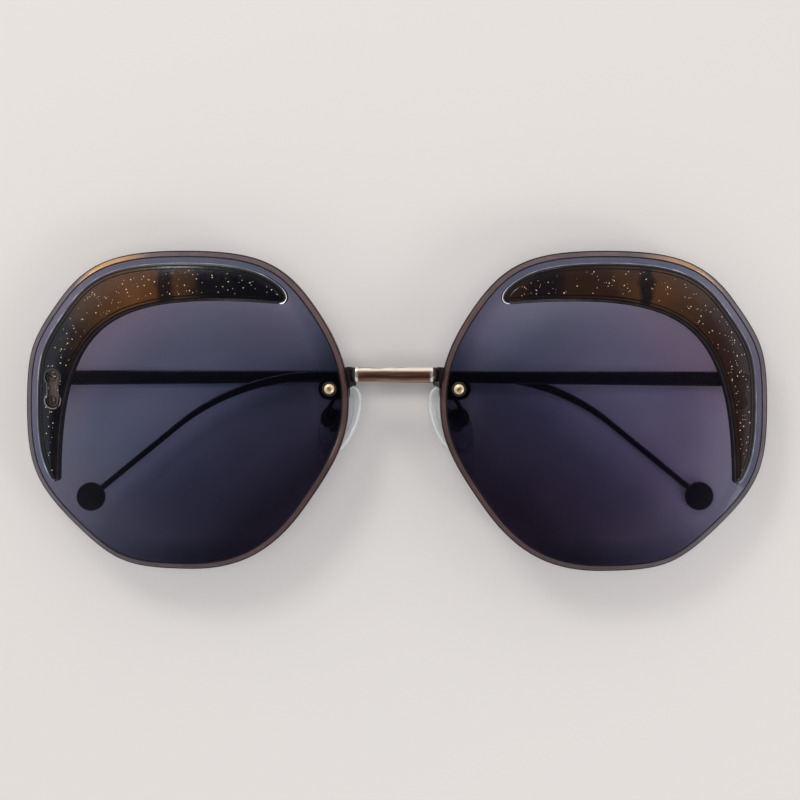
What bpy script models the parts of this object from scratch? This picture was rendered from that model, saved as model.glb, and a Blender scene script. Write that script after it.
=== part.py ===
"""Rimless sunglasses with large eight-cornered tinted lenses, folded and lying on their temples.

Metres, +Z up. The lenses face up, X runs across the face and Y up the face. The right-hand
pieces are modelled and the left-hand ones are their mirror images. The temple on the right is
folded first, so it lies tilted over the left one, whose flat outer face is at Z = 0.
"""
import math

import bmesh
import bpy
from mathutils import Matrix
from mathutils import Vector

# Lens
LENS_WIDTH = 0.0630
LENS_HEIGHT = 0.0614
LENS_GAP = 0.0175
LENS_THICKNESS = 0.0020
LENS_CURVE_RADIUS = 0.190
LENS_WRAP_ANGLE = math.radians(4.0)
LENS_FACET_WIDTH = 0.00105
LENS_FACET_DEPTH = 0.0007
# Corners of the outline, nasal top first and clockwise: share of the half width, share of the
# half height, and how far the curve is pulled into the corner.
LENS_CORNER_SHARES = (
    (-1.0, 0.363, 1.08),
    (-0.545, 1.0, 1.44),
    (0.568, 1.0, 1.33),
    (1.0, 0.404, 2.1),
    (1.0, -0.426, 1.6),
    (0.426, -1.0, 1.95),
    (-0.454, -1.0, 1.13),
    (-1.0, -0.216, 1.45),
)
LENS_CORNER_STEPS = 11
LENS_RING_SHARES = (0.34, 0.68)

# Crescent inlay in the lens's slot
INLAY_MARGIN = 0.00275
INLAY_PROUD = 0.00035
INLAY_BEVEL_WIDTH = 0.00065
INLAY_BEVEL_DEPTH = 0.0004
INLAY_CLEARANCE = 0.0001
# Where its outer edge starts and ends, counted in corners along the lens outline
INLAY_SPAN_SHARES = (1.29, 4.60)
# Its inner edge: nasal end, the corner that pulls the curve, and lower end
INLAY_INNER_SHARES = ((-0.575, 0.682), (0.765, 0.790), (0.806, -0.425))
INLAY_INNER_PULL_SHARE = 1.56
INLAY_STEPS = 30
INLAY_TIP_STEPS = 2

# Clearances between pieces that touch, and how far a cutter runs past what it cuts
SEAT_GAP = 0.0001
FIT_CLEARANCE = 0.0001
CUT_OVERRUN = 0.0005

# Bridge: a bar whose ends turn back to a lug behind each lens
BRIDGE_HOLE_INSET = 0.00385
BRIDGE_HOLE_RISE = 0.0043
BRIDGE_BAR_RISE = 0.0071
BRIDGE_BAR_HEIGHT = 0.0028
BRIDGE_BAR_DEPTH = 0.0017
BRIDGE_BAR_EDGE = 0.0005
BRIDGE_BEND_RADIUS = 0.0014
BRIDGE_EDGE_CLEARANCE = 0.0003
BRIDGE_FRONT_PROUD = 0.0004
LUG_THICKNESS = 0.0009
LUG_EYE_RADIUS = 0.0021
LUG_HEEL_ROUND = 0.0006
CLAW_THICKNESS = 0.0006
CLAW_HEIGHT = 0.0016

# Bridge screws with their plastic bushings and nuts
SCREW_SHANK_RADIUS = 0.00055
SCREW_HEAD_RADIUS = 0.00095
SCREW_HEAD_HEIGHT = 0.00045
SCREW_RECESS_DEPTH = 0.00018
BUSHING_WALL = 0.00025
BUSHING_FLANGE_RADIUS = 0.00138
BUSHING_FLANGE_THICKNESS = 0.00025
NUT_RADIUS = 0.00125
NUT_HEIGHT = 0.0008

# Nose pads
PAD_LENGTH = 0.0145
PAD_WIDTH = 0.0086
PAD_THICKNESS = 0.0024
PAD_CENTRE_X = 0.0107
PAD_DROP = 0.0023
PAD_DEPTH = 0.0056
PAD_SPLAY_ANGLE = math.radians(37.0)
PAD_FLARE_ANGLE = math.radians(27.0)
PAD_SIDES = 28
PAD_EGG_SHARE = 0.10
# Rings of the pad from its flat front to its domed back: share of its outline, share of its
# half thickness
PAD_RING_SHARES = ((0.5, 1.0), (0.86, 0.96), (1.0, 0.5), (0.98, 0.0), (0.84, -0.5), (0.5, -0.9))
CORE_LENGTH = 0.0052
CORE_WIDTH = 0.0034
CORE_THICKNESS = 0.0005
CORE_LUG_THICKNESS = 0.0012
CORE_LUG_RADIUS = 0.0008
PAD_ROCK_GAP = 0.0004
BOX_RADIUS = 0.0020
BOX_RIM = 0.0009
BOX_WALL = 0.0004
BOX_SLOT_LENGTH = 0.0028
PAD_SCREW_RADIUS = 0.0004
PAD_SCREW_HEAD_RADIUS = 0.0007
PAD_SCREW_HEAD_HEIGHT = 0.0003
PAD_ARM_RADIUS = 0.00045
PAD_ARM_LEAD = 0.0010
PAD_ARM_INSET = 0.0018

# Endpiece behind the lens
ENDPIECE_INSET = 0.0052
ENDPIECE_RISE = 0.0041
ENDPIECE_DEPTH = 0.0080
ENDPIECE_PLATE_WIDTH = 0.0042
ENDPIECE_PLATE_HEIGHT = 0.0086
ENDPIECE_PLATE_THICKNESS = 0.0009
ENDPIECE_PLATE_ROUND = 0.0008
ENDPIECE_ARM_THICKNESS = 0.0011
BOSS_SPACING = 0.0045
BOSS_RADIUS = 0.0013
BOSS_NECK = 0.0018
BOSS_HEIGHT = 0.0005
BOSS_SCREW_RADIUS = 0.00045
BOSS_SCREW_HEAD_RADIUS = 0.00075
BOSS_SCREW_HEAD_HEIGHT = 0.0003
BOSS_SCREW_DEPTH = 0.0006

# Three-knuckle hinge
HINGE_RISE = 0.0058
HINGE_OUTSET = 0.0007
HINGE_BARREL_RADIUS = 0.0011
HINGE_BARREL_HEIGHT = 0.0032
HINGE_MIDDLE_HEIGHT = 0.0012
HINGE_SIDE_CLEARANCE = 0.0001
HINGE_STAND_OFF = 0.0003
HINGE_SCREW_RADIUS = 0.0004
HINGE_HEAD_RADIUS = 0.0007
HINGE_HEAD_HEIGHT = 0.0003
HINGE_LEAF_LENGTH = 0.0060
HINGE_LEAF_THICKNESS = 0.0006

# Temple
TEMPLE_THICKNESS = 0.0011
TEMPLE_WIDTH = 0.0030
TEMPLE_BEND_WIDTH = 0.0020
TEMPLE_TAIL_WIDTH = 0.0012
TEMPLE_EDGE = 0.0002
# How far short of the other hinge's axis the ear bend starts on a folded temple
EAR_BEND_INSET = 0.0516
TEMPLE_RISE_ANGLE = math.radians(0.35)
EAR_BEND_RADIUS = 0.0430
EAR_BEND_ANGLE = math.radians(39.6)
EAR_BEND_STEPS = 14
TEMPLE_TAIL = 0.0222
TIP_RADIUS = 0.0028
TIP_THICKNESS = 0.0017
TIP_EDGE = 0.0003
TONGUE_LENGTH = 0.0026
TONGUE_WIDTH = 0.0008
TONGUE_THICKNESS = 0.0006
TONGUE_RAISE = 0.0004
TEMPLE_NEST_GAP = 0.00035

ROUND_SIDES = 20
FILLET_STEPS = 4
SHARP_ANGLE = math.radians(35.0)

# Places that follow from the sizes above
LENS_CENTRE_X = (LENS_GAP + LENS_WIDTH) / 2
ENDPIECE_U = LENS_WIDTH / 2 - ENDPIECE_INSET
HOLE_U = BRIDGE_HOLE_INSET - LENS_WIDTH / 2
HINGE_AXIS_Z = TEMPLE_THICKNESS + HINGE_STAND_OFF + HINGE_BARREL_RADIUS
MIRROR_X = Matrix.Scale(-1, 4, (1, 0, 0))
UP = Vector((0, 0, 1))
# Turns a shape drawn in XY so that its outline lies in YZ
FROM_THE_END = Matrix(((0, 0, 1, 0), (1, 0, 0, 0), (0, 1, 0, 0), (0, 0, 0, 1)))

parts = bpy.data.collections.new("rimless_sunglasses")
tools = bpy.data.collections.new("cutters")


# Scene helpers
def clear_scene():
    for item in list(bpy.data.objects):
        bpy.data.objects.remove(item, do_unlink=True)
    bpy.context.scene.collection.children.link(parts)
    bpy.context.scene.collection.children.link(tools)


def finish(name, colour, roughness, metallic=0.0, transmission=0.0):
    surface = bpy.data.materials.new(name)
    surface.use_nodes = True
    shader = surface.node_tree.nodes["Principled BSDF"]
    shader.inputs["Base Color"].default_value = (*colour, 1.0)
    shader.inputs["Roughness"].default_value = roughness
    shader.inputs["Metallic"].default_value = metallic
    shader.inputs["Transmission Weight"].default_value = transmission
    return surface


def place(item, matrix, parent):
    item.parent = parent
    item.matrix_basis = matrix


def add_part(name, mesh, surface, matrix=Matrix(), parent=None):
    part = bpy.data.objects.new(name, mesh)
    parts.objects.link(part)
    mesh.materials.clear()
    mesh.materials.append(surface)
    mesh.shade_smooth()
    mesh.set_sharp_from_angle(angle=SHARP_ANGLE)
    place(part, matrix, parent)
    return part


def add_tool(name, mesh, matrix=Matrix(), parent=None):
    tool = bpy.data.objects.new(name, mesh)
    tools.objects.link(tool)
    tool.hide_render = True
    tool.display_type = "WIRE"
    place(tool, matrix, parent)
    return tool


def combine(part, operation, mesh, matrix=Matrix()):
    """Cut the mesh from the part, join it on, or keep what they share; both hang on one parent."""
    step = part.modifiers.new(operation.lower(), "BOOLEAN")
    step.operation = operation
    step.solver = "EXACT"
    name = f"{part.name}_{operation.lower()}_{len(part.modifiers)}"
    step.object = add_tool(name, mesh, matrix, part.parent)


def round_edges(part, width, steps=2):
    step = part.modifiers.new("round", "BEVEL")
    step.width = width
    step.segments = steps
    step.limit_method = "ANGLE"
    step.angle_limit = SHARP_ANGLE


def add_axis(name, matrix, parent=None):
    axis = bpy.data.objects.new(name, None)
    axis.empty_display_size = TIP_RADIUS
    parts.objects.link(axis)
    place(axis, matrix, parent)
    return axis


def add_twin(part, parent):
    """The left-hand copy of a right-hand part, mirrored in its mesh and in its place."""
    graph = bpy.context.evaluated_depsgraph_get()
    mesh = bpy.data.meshes.new_from_object(part.evaluated_get(graph))
    shape = bmesh.new()
    shape.from_mesh(mesh)
    bmesh.ops.transform(shape, matrix=MIRROR_X, verts=shape.verts)
    bmesh.ops.reverse_faces(shape, faces=shape.faces)
    shape.to_mesh(mesh)
    shape.free()
    name = part.name.replace("_right", "_left")
    matrix = MIRROR_X @ part.matrix_basis @ MIRROR_X
    return add_part(name, mesh, part.data.materials[0], matrix, parent)


# Meshes
def mesh_of(shape, name):
    bmesh.ops.recalc_face_normals(shape, faces=shape.faces)
    mesh = bpy.data.meshes.new(name)
    shape.to_mesh(mesh)
    shape.free()
    return mesh


def box(low, high):
    shape = bmesh.new()
    size = Vector(high) - Vector(low)
    middle = (Vector(high) + Vector(low)) / 2
    bmesh.ops.create_cube(shape, size=1, matrix=Matrix.LocRotScale(middle, None, size))
    return mesh_of(shape, "box")


def rod(radius, low, high, sides=ROUND_SIDES):
    """A round bar along Z, from low to high."""
    shape = bmesh.new()
    bmesh.ops.create_cone(
        shape,
        cap_ends=True,
        segments=sides,
        radius1=radius,
        radius2=radius,
        depth=high - low,
        matrix=Matrix.Translation((0, 0, (low + high) / 2)),
    )
    return mesh_of(shape, "rod")


def slab(points, low, high):
    """A flat outline in XY, as thick as low to high along Z."""
    curve = bpy.data.curves.new("outline", "CURVE")
    curve.dimensions = "2D"
    curve.fill_mode = "BOTH"
    curve.extrude = (high - low) / 2
    line = curve.splines.new("POLY")
    line.points.add(len(points) - 1)
    for knot, (x, y) in zip(line.points, points):
        knot.co = (x, y, 0, 1)
    line.use_cyclic_u = True
    return curve_mesh(curve, Matrix.Translation((0, 0, (low + high) / 2)))


def curve_mesh(curve, matrix=Matrix()):
    holder = bpy.data.objects.new("outline", curve)
    tools.objects.link(holder)
    graph = bpy.context.evaluated_depsgraph_get()
    mesh = bpy.data.meshes.new_from_object(holder.evaluated_get(graph))
    bpy.data.objects.remove(holder, do_unlink=True)
    shape = bmesh.new()
    shape.from_mesh(mesh)
    bmesh.ops.remove_doubles(shape, verts=shape.verts, dist=SEAT_GAP / ROUND_SIDES)
    bmesh.ops.transform(shape, matrix=matrix, verts=shape.verts)
    return mesh_of(shape, "slab")


def add_turned(name, profile, surface, matrix=Matrix(), parent=None):
    """A part turned round Z from (radius, height) points, which run down its outer side."""
    mesh = bpy.data.meshes.new("profile")
    edges = [(index, index + 1) for index in range(len(profile) - 1)]
    mesh.from_pydata([(radius, 0, height) for radius, height in profile], edges, [])
    part = add_part(name, mesh, surface, matrix, parent)
    step = part.modifiers.new("turned", "SCREW")
    step.axis = "Z"
    step.steps = ROUND_SIDES
    step.render_steps = ROUND_SIDES
    step.use_merge_vertices = True
    step.merge_threshold = SEAT_GAP / ROUND_SIDES
    return part


def rounded(corners):
    """An outline whose corners, given as x, y and radius, are rounded with arcs."""
    outline = []
    for index, (x, y, radius) in enumerate(corners):
        here = Vector((x, y))
        if not radius:
            outline.append((x, y))
            continue
        back = (Vector(corners[index - 1][:2]) - here).normalized()
        ahead = (Vector(corners[(index + 1) % len(corners)][:2]) - here).normalized()
        half = back.angle(ahead) / 2
        centre = here + (back + ahead).normalized() * radius / math.sin(half)
        start = here + back * radius / math.tan(half) - centre
        end = here + ahead * radius / math.tan(half) - centre
        turn = math.atan2(start.x * end.y - start.y * end.x, start.dot(end))
        for step in range(FILLET_STEPS + 1):
            angle = turn * step / FILLET_STEPS
            spoke = Matrix.Rotation(angle, 2) @ start
            outline.append(tuple(centre + spoke))
    return outline


def arc(centre, radius, start, end, steps):
    """Points of an arc about the centre, between two angles in radians."""
    angles = [start + (end - start) * step / steps for step in range(steps + 1)]
    return [(centre[0] + radius * math.cos(a), centre[1] + radius * math.sin(a)) for a in angles]


def lying(axis):
    """Turns a shape built along Z to lie along X or Y."""
    if axis == "X":
        return Matrix.Rotation(math.pi / 2, 4, "Y")
    return Matrix.Rotation(-math.pi / 2, 4, "X")


# Lens outline and its two round faces
def conic(start, corner, end, pull, share):
    near = (1 - share) ** 2
    middle = 2 * share * (1 - share) * pull
    far = share**2
    return (near * start + middle * corner + far * end) / (near + middle + far)


def outline_point(place_share):
    """A point of the lens outline; whole numbers are the middles of its sides."""
    count = len(LENS_CORNER_SHARES)
    index = int(place_share) % count
    half = Vector((LENS_WIDTH / 2, LENS_HEIGHT / 2))
    corners = [Vector(LENS_CORNER_SHARES[(index + step) % count][:2]) * half for step in (-1, 0, 1)]
    corner = corners[1]
    pull = LENS_CORNER_SHARES[index][2]
    start = (corners[0] + corner) / 2
    end = (corner + corners[2]) / 2
    return conic(start, corner, end, pull, place_share - int(place_share))


def outline_inset(points, inset, closed=True):
    """The points of a clockwise outline, each moved inwards by the inset."""
    moved = []
    last = len(points) - 1
    for index, point in enumerate(points):
        before = points[index - 1] if closed or index else point
        after = points[(index + 1) % len(points)] if closed or index < last else point
        along = (after - before).normalized()
        moved.append(point + Vector((along.y, -along.x)) * inset)
    return moved


def evenly(points, steps):
    """The same line with its points spaced evenly along it."""
    lengths = [0.0]
    for first, second in zip(points, points[1:]):
        lengths.append(lengths[-1] + (second - first).length)
    spaced = []
    index = 1
    for step in range(steps + 1):
        wanted = lengths[-1] * step / steps
        while lengths[index] < wanted and index < len(points) - 1:
            index += 1
        share = (wanted - lengths[index - 1]) / (lengths[index] - lengths[index - 1])
        spaced.append(points[index - 1].lerp(points[index], share))
    return spaced


def fall(radius, point):
    """How far a sphere of this radius falls away from its top at the point."""
    return radius - math.sqrt(radius**2 - point[0] ** 2 - point[1] ** 2)


def rear_height(point):
    return -fall(LENS_CURVE_RADIUS, point)


def front_height(point):
    return LENS_THICKNESS - fall(LENS_CURVE_RADIUS + LENS_THICKNESS, point)


def raised(points, height, extra=0.0):
    return [Vector((*point, height(point) + extra)) for point in points]


def ring_mesh(rings, caps):
    """A closed mesh through rings of equal counts; caps lists the end faces by index."""
    shape = bmesh.new()
    knots = [[shape.verts.new(point) for point in ring] for ring in rings]
    count = len(rings[0])
    for lower, upper in zip(knots, knots[1:]):
        for index in range(count):
            after = (index + 1) % count
            shape.faces.new((lower[index], lower[after], upper[after], upper[index]))
    for ring, faces in zip((knots[0], knots[-1]), caps):
        for face in faces:
            shape.faces.new([ring[index] for index in face])
    return shape


def domed_mesh(rings, low_centre, high_centre, name):
    """A closed mesh through rings, each end closed by a fan to its centre point."""
    shape = ring_mesh(rings, ((), ()))
    shape.verts.ensure_lookup_table()
    count = len(rings[0])
    for first, centre in ((0, low_centre), (count * (len(rings) - 1), high_centre)):
        middle = shape.verts.new(centre)
        shape.verts.ensure_lookup_table()
        rim = shape.verts[first : first + count]
        for index in range(count):
            shape.faces.new((rim[index], rim[(index + 1) % count], middle))
    return mesh_of(shape, name)


def lens_mesh():
    steps = len(LENS_CORNER_SHARES) * LENS_CORNER_STEPS
    edge = [outline_point(step / LENS_CORNER_STEPS) for step in range(steps)]
    facet = outline_inset(edge, LENS_FACET_WIDTH)
    rings = [raised([point * share for point in facet], rear_height) for share in LENS_RING_SHARES]
    rings.append(raised(edge, rear_height))
    rings.append(raised(edge, front_height, -LENS_FACET_DEPTH))
    rings.append(raised(facet, front_height))
    for share in reversed(LENS_RING_SHARES):
        rings.append(raised([point * share for point in facet], front_height))
    return domed_mesh(rings, Vector((0, 0, 0)), Vector((0, 0, LENS_THICKNESS)), "lens")


# Inlay
def tip_points(edge, other):
    """Points round the tip that two edges run towards, in line with both, without their ends."""
    start = edge[-1]
    end = other[-1]
    ahead = start - edge[-2]
    beside = end - other[-2]
    gap = end - start
    reach = (gap.x * beside.y - gap.y * beside.x) / (ahead.x * beside.y - ahead.y * beside.x)
    corner = start + ahead * reach
    bulge = gap.length / 2 / (corner - (start + end) / 2).length
    count = 2 * INLAY_TIP_STEPS + 2
    pull = bulge / (1 - bulge)
    return [conic(start, corner, end, pull, step / count) for step in range(1, count)]


def inlay_outline():
    """A clockwise closed outline that starts at its nasal tip; its lower tip is half way round."""
    first, last = INLAY_SPAN_SHARES
    fine = INLAY_STEPS * FILLET_STEPS
    edge = [outline_point(first + (last - first) * step / fine) for step in range(fine + 1)]
    outer = evenly(outline_inset(edge, INLAY_MARGIN, closed=False), INLAY_STEPS)
    half = Vector((LENS_WIDTH / 2, LENS_HEIGHT / 2))
    nasal, corner, lower = [Vector(share) * half for share in INLAY_INNER_SHARES]
    pull = INLAY_INNER_PULL_SHARE
    curve = [conic(lower, corner, nasal, pull, step / fine) for step in range(fine + 1)]
    inner = evenly(curve, INLAY_STEPS)
    lower_tip = tip_points(outer, inner[::-1])
    nasal_tip = tip_points(inner, outer[::-1])
    return nasal_tip[INLAY_TIP_STEPS:] + outer + lower_tip + inner + nasal_tip[:INLAY_TIP_STEPS]


def strip_faces(count):
    """Faces across a crescent, between each point and the one opposite it."""
    faces = []
    for index in range(count // 2):
        corners = [index, index + 1, (count - index - 1) % count, (count - index) % count]
        faces.append(list(dict.fromkeys(corners)))
    return faces


def inlay_mesh():
    outline = inlay_outline()
    top = outline_inset(outline, INLAY_BEVEL_WIDTH)
    rings = [
        raised(outline, rear_height),
        raised(outline, front_height, INLAY_PROUD - INLAY_BEVEL_DEPTH),
        raised(top, front_height, INLAY_PROUD),
    ]
    faces = strip_faces(len(outline))
    return mesh_of(ring_mesh(rings, (faces, faces)), "inlay")


def inlay_slot_mesh():
    reach = LENS_THICKNESS + CUT_OVERRUN
    lowest = -fall(LENS_CURVE_RADIUS, (LENS_WIDTH / 2, LENS_HEIGHT / 2))
    return slab(outline_inset(inlay_outline(), -INLAY_CLEARANCE), lowest - CUT_OVERRUN, reach)


# Frames that the pieces are placed in
def lens_frame():
    tilt = Matrix.Rotation(LENS_WRAP_ANGLE, 4, "Y")
    seat = tilt @ Vector((ENDPIECE_U, ENDPIECE_RISE, rear_height((ENDPIECE_U, ENDPIECE_RISE))))
    apex = HINGE_AXIS_Z + ENDPIECE_DEPTH - seat.z
    return Matrix.Translation((LENS_CENTRE_X, 0, apex)) @ tilt


def seat_frame(u, v):
    """A frame on the lens's rear face, whose Z axis is the lens's own direction there."""
    point = Vector((u, v, rear_height((u, v))))
    outward = point + UP * LENS_CURVE_RADIUS
    lean = UP.rotation_difference(outward).to_matrix().to_4x4()
    return lens_frame() @ Matrix.Translation(point) @ lean


def hole_frame():
    return seat_frame(HOLE_U, BRIDGE_HOLE_RISE)


def endpiece_frame():
    return seat_frame(ENDPIECE_U, ENDPIECE_RISE)


def hinge_place():
    return Vector((endpiece_frame().translation.x + HINGE_OUTSET, HINGE_RISE, HINGE_AXIS_Z))


def temple_straight():
    """The length of the temple from its hinge to its ear bend, so that it folds inside the front."""
    return 2 * hinge_place().x - EAR_BEND_INSET


def nest_angle():
    """How far the first folded temple leans over the other one, to clear it where they cross."""
    spread = TEMPLE_WIDTH + temple_straight() * math.sin(TEMPLE_RISE_ANGLE)
    crossing = EAR_BEND_INSET - math.sqrt(2 * EAR_BEND_RADIUS * spread)
    return math.atan((TEMPLE_THICKNESS + TEMPLE_NEST_GAP) / crossing)


def pad_frame():
    """The pad's middle: X across its width, Y along its length, Z towards its box."""
    middle = Vector((PAD_CENTRE_X, -PAD_DROP, hole_frame().translation.z - PAD_DEPTH))
    flare = Matrix.Rotation(PAD_FLARE_ANGLE, 4, "Z")
    return Matrix.Translation(middle) @ flare @ Matrix.Rotation(PAD_SPLAY_ANGLE, 4, "Y")


def pad_pivot_height():
    return PAD_THICKNESS / 2 + PAD_ROCK_GAP + BOX_RIM


def box_back():
    """The back of the pad's box, measured from the axis that the pad rocks on."""
    return CORE_LUG_RADIUS + FIT_CLEARANCE + BOX_WALL


# Lens and inlay
def build_lens(surfaces):
    lens = add_part("lens_right", lens_mesh(), surfaces["lens"], lens_frame())
    combine(lens, "DIFFERENCE", inlay_slot_mesh(), lens_frame())
    hole = SCREW_SHANK_RADIUS + FIT_CLEARANCE + BUSHING_WALL + FIT_CLEARANCE
    reach = LENS_THICKNESS + CUT_OVERRUN
    combine(lens, "DIFFERENCE", rod(hole, -CUT_OVERRUN, reach), hole_frame())
    return lens


def boss_outline(extra):
    """Two round ends joined by a narrower neck, grown by the extra size all round."""
    radius = BOSS_RADIUS + extra
    turn = math.acos((BOSS_NECK / 2 + extra) / radius)
    steps = ROUND_SIDES // 2
    upper = arc((0, BOSS_SPACING / 2), radius, -turn, math.pi + turn, steps)
    lower = arc((0, -BOSS_SPACING / 2), radius, math.pi - turn, math.tau + turn, steps)
    return upper + lower


def boss_screw_places():
    return [Matrix.Translation((0, side * BOSS_SPACING / 2, 0)) for side in (1, -1)]


def build_inlay(surfaces):
    inlay = add_part("inlay_right", inlay_mesh(), surfaces["inlay"], lens_frame())
    recess = slab(boss_outline(FIT_CLEARANCE), -CUT_OVERRUN, BOSS_HEIGHT + SEAT_GAP)
    combine(inlay, "DIFFERENCE", recess, endpiece_frame())
    reach = BOSS_HEIGHT + SEAT_GAP + BOSS_SCREW_HEAD_HEIGHT + SEAT_GAP
    for spot in boss_screw_places():
        pocket = rod(BOSS_SCREW_HEAD_RADIUS + FIT_CLEARANCE, 0, reach)
        combine(inlay, "DIFFERENCE", pocket, endpiece_frame() @ spot)
    return inlay


# Endpiece: a plate on the lens, an arm that runs back from it, and the hinge's outer knuckles
def arm_profile():
    """The arm in side view, as X and Z, from inside the plate to the hinge."""
    hinge = hinge_place()
    seat = endpiece_frame() @ Vector((0, 0, -ENDPIECE_PLATE_THICKNESS / 2))
    inner = hinge.x + HINGE_BARREL_RADIUS + HINGE_STAND_OFF
    outer = inner + ENDPIECE_ARM_THICKNESS
    foot = hinge.z + HINGE_SIDE_CLEARANCE
    shoulder = foot + ENDPIECE_DEPTH / 2
    slope = math.tan(LENS_WRAP_ANGLE + math.asin(ENDPIECE_U / LENS_CURVE_RADIUS))
    left = seat.x - ENDPIECE_PLATE_WIDTH / 3
    right = seat.x + ENDPIECE_PLATE_WIDTH / 3
    return rounded(
        (
            (left, seat.z + (seat.x - left) * slope, 0),
            (right, seat.z - (right - seat.x) * slope, 0),
            (outer, shoulder + ENDPIECE_ARM_THICKNESS, ENDPIECE_ARM_THICKNESS),
            (outer, foot, 0),
            (inner, foot, 0),
            (inner, shoulder, ENDPIECE_ARM_THICKNESS),
        )
    )


def arm_taper():
    """The arm seen from its end, as Y and Z: as tall as the plate above and as the hinge below."""
    hinge = hinge_place()
    top = endpiece_frame().translation.z + ENDPIECE_PLATE_THICKNESS
    plate_low = ENDPIECE_RISE - ENDPIECE_PLATE_HEIGHT / 2 + ENDPIECE_PLATE_ROUND
    plate_high = ENDPIECE_RISE + ENDPIECE_PLATE_HEIGHT / 2 - ENDPIECE_PLATE_ROUND
    low = hinge.y - HINGE_BARREL_HEIGHT / 2
    high = hinge.y + HINGE_BARREL_HEIGHT / 2
    waist = hinge.z + ENDPIECE_DEPTH / 2
    return rounded(
        (
            (plate_low, top, 0),
            (plate_low, top - ENDPIECE_DEPTH / 4, ENDPIECE_PLATE_ROUND),
            (low, waist, ENDPIECE_PLATE_ROUND),
            (low, hinge.z, 0),
            (high, hinge.z, 0),
            (high, waist, ENDPIECE_PLATE_ROUND),
            (plate_high, top - ENDPIECE_DEPTH / 4, ENDPIECE_PLATE_ROUND),
            (plate_high, top, 0),
        )
    )


def knuckle_heights():
    """Low and high ends of the two outer knuckles, measured from the hinge's middle."""
    inner = HINGE_MIDDLE_HEIGHT / 2 + HINGE_SIDE_CLEARANCE
    outer = HINGE_BARREL_HEIGHT / 2
    return ((-outer, -inner), (inner, outer))


def build_endpiece(surfaces):
    seat = endpiece_frame()
    half_width = ENDPIECE_PLATE_WIDTH / 2
    half_height = ENDPIECE_PLATE_HEIGHT / 2
    corners = ((-1, -1), (1, -1), (1, 1), (-1, 1))
    outline = rounded([(x * half_width, y * half_height, ENDPIECE_PLATE_ROUND) for x, y in corners])
    plate = slab(outline, -SEAT_GAP - ENDPIECE_PLATE_THICKNESS, -SEAT_GAP)
    side_view = slab(arm_profile(), ENDPIECE_RISE - half_height, ENDPIECE_RISE + half_height)
    upright = Matrix.Rotation(math.pi / 2, 4, "X")
    endpiece = add_part("endpiece_right", side_view, surfaces["gunmetal"], upright)
    flip_y(endpiece)
    middle = seat.translation.x
    end_view = slab(arm_taper(), middle - ENDPIECE_PLATE_WIDTH, middle + ENDPIECE_PLATE_WIDTH)
    combine(endpiece, "INTERSECT", end_view, FROM_THE_END)
    combine(endpiece, "UNION", plate, seat)
    boss = slab(boss_outline(0), -SEAT_GAP - ENDPIECE_PLATE_THICKNESS / 2, BOSS_HEIGHT)
    combine(endpiece, "UNION", boss, seat)
    add_outer_knuckles(endpiece)
    for spot in boss_screw_places():
        depth = BOSS_SCREW_DEPTH + SEAT_GAP
        drill = rod(BOSS_SCREW_RADIUS + FIT_CLEARANCE, -depth, BOSS_HEIGHT + CUT_OVERRUN)
        combine(endpiece, "DIFFERENCE", drill, seat @ spot)
    return endpiece


def flip_y(part):
    """A slab built in XZ lies along -Y after its turn, so its mesh is moved to the right side."""
    part.data.transform(Matrix.Scale(-1, 4, (0, 0, 1)))
    part.data.flip_normals()


def add_outer_knuckles(endpiece):
    hinge = hinge_place()
    reach = HINGE_BARREL_RADIUS + HINGE_STAND_OFF + ENDPIECE_ARM_THICKNESS / 2
    for low, high in knuckle_heights():
        barrel = Matrix.Translation(hinge) @ lying("Y")
        combine(endpiece, "UNION", rod(HINGE_BARREL_RADIUS, low, high), barrel)
        inset = HINGE_SIDE_CLEARANCE
        neck = box((0, low + inset, 2 * inset), (reach, high - inset, HINGE_BARREL_RADIUS * 2 / 3))
        combine(endpiece, "UNION", neck, Matrix.Translation(hinge))
    bore = rod(HINGE_SCREW_RADIUS + FIT_CLEARANCE, -HINGE_BARREL_HEIGHT, HINGE_BARREL_HEIGHT)
    combine(endpiece, "DIFFERENCE", bore, Matrix.Translation(hinge) @ lying("Y"))


def build_boss_screws(surfaces):
    """Two short screws through the endpiece's boss, whose heads lie in the inlay's back."""
    under = BOSS_HEIGHT + SEAT_GAP
    profile = (
        (0, under + BOSS_SCREW_HEAD_HEIGHT),
        (BOSS_SCREW_HEAD_RADIUS, under + BOSS_SCREW_HEAD_HEIGHT),
        (BOSS_SCREW_HEAD_RADIUS, under),
        (BOSS_SCREW_RADIUS, under),
        (BOSS_SCREW_RADIUS, -BOSS_SCREW_DEPTH),
        (0, -BOSS_SCREW_DEPTH),
    )
    seat = endpiece_frame()
    spots = zip(("upper", "lower"), boss_screw_places())
    return [
        add_turned(f"endpiece_screw_{level}_right", profile, surfaces["gunmetal"], seat @ spot)
        for level, spot in spots
    ]


def build_hinge_screw(surfaces):
    low = -HINGE_BARREL_HEIGHT / 2
    under = HINGE_BARREL_HEIGHT / 2 + SEAT_GAP
    profile = (
        (0, under + HINGE_HEAD_HEIGHT),
        (HINGE_HEAD_RADIUS, under + HINGE_HEAD_HEIGHT),
        (HINGE_HEAD_RADIUS, under),
        (HINGE_SCREW_RADIUS, under),
        (HINGE_SCREW_RADIUS, low),
        (0, low),
    )
    matrix = Matrix.Translation(hinge_place()) @ lying("Y")
    return add_turned("hinge_screw_right", profile, surfaces["gunmetal"], matrix)


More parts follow.
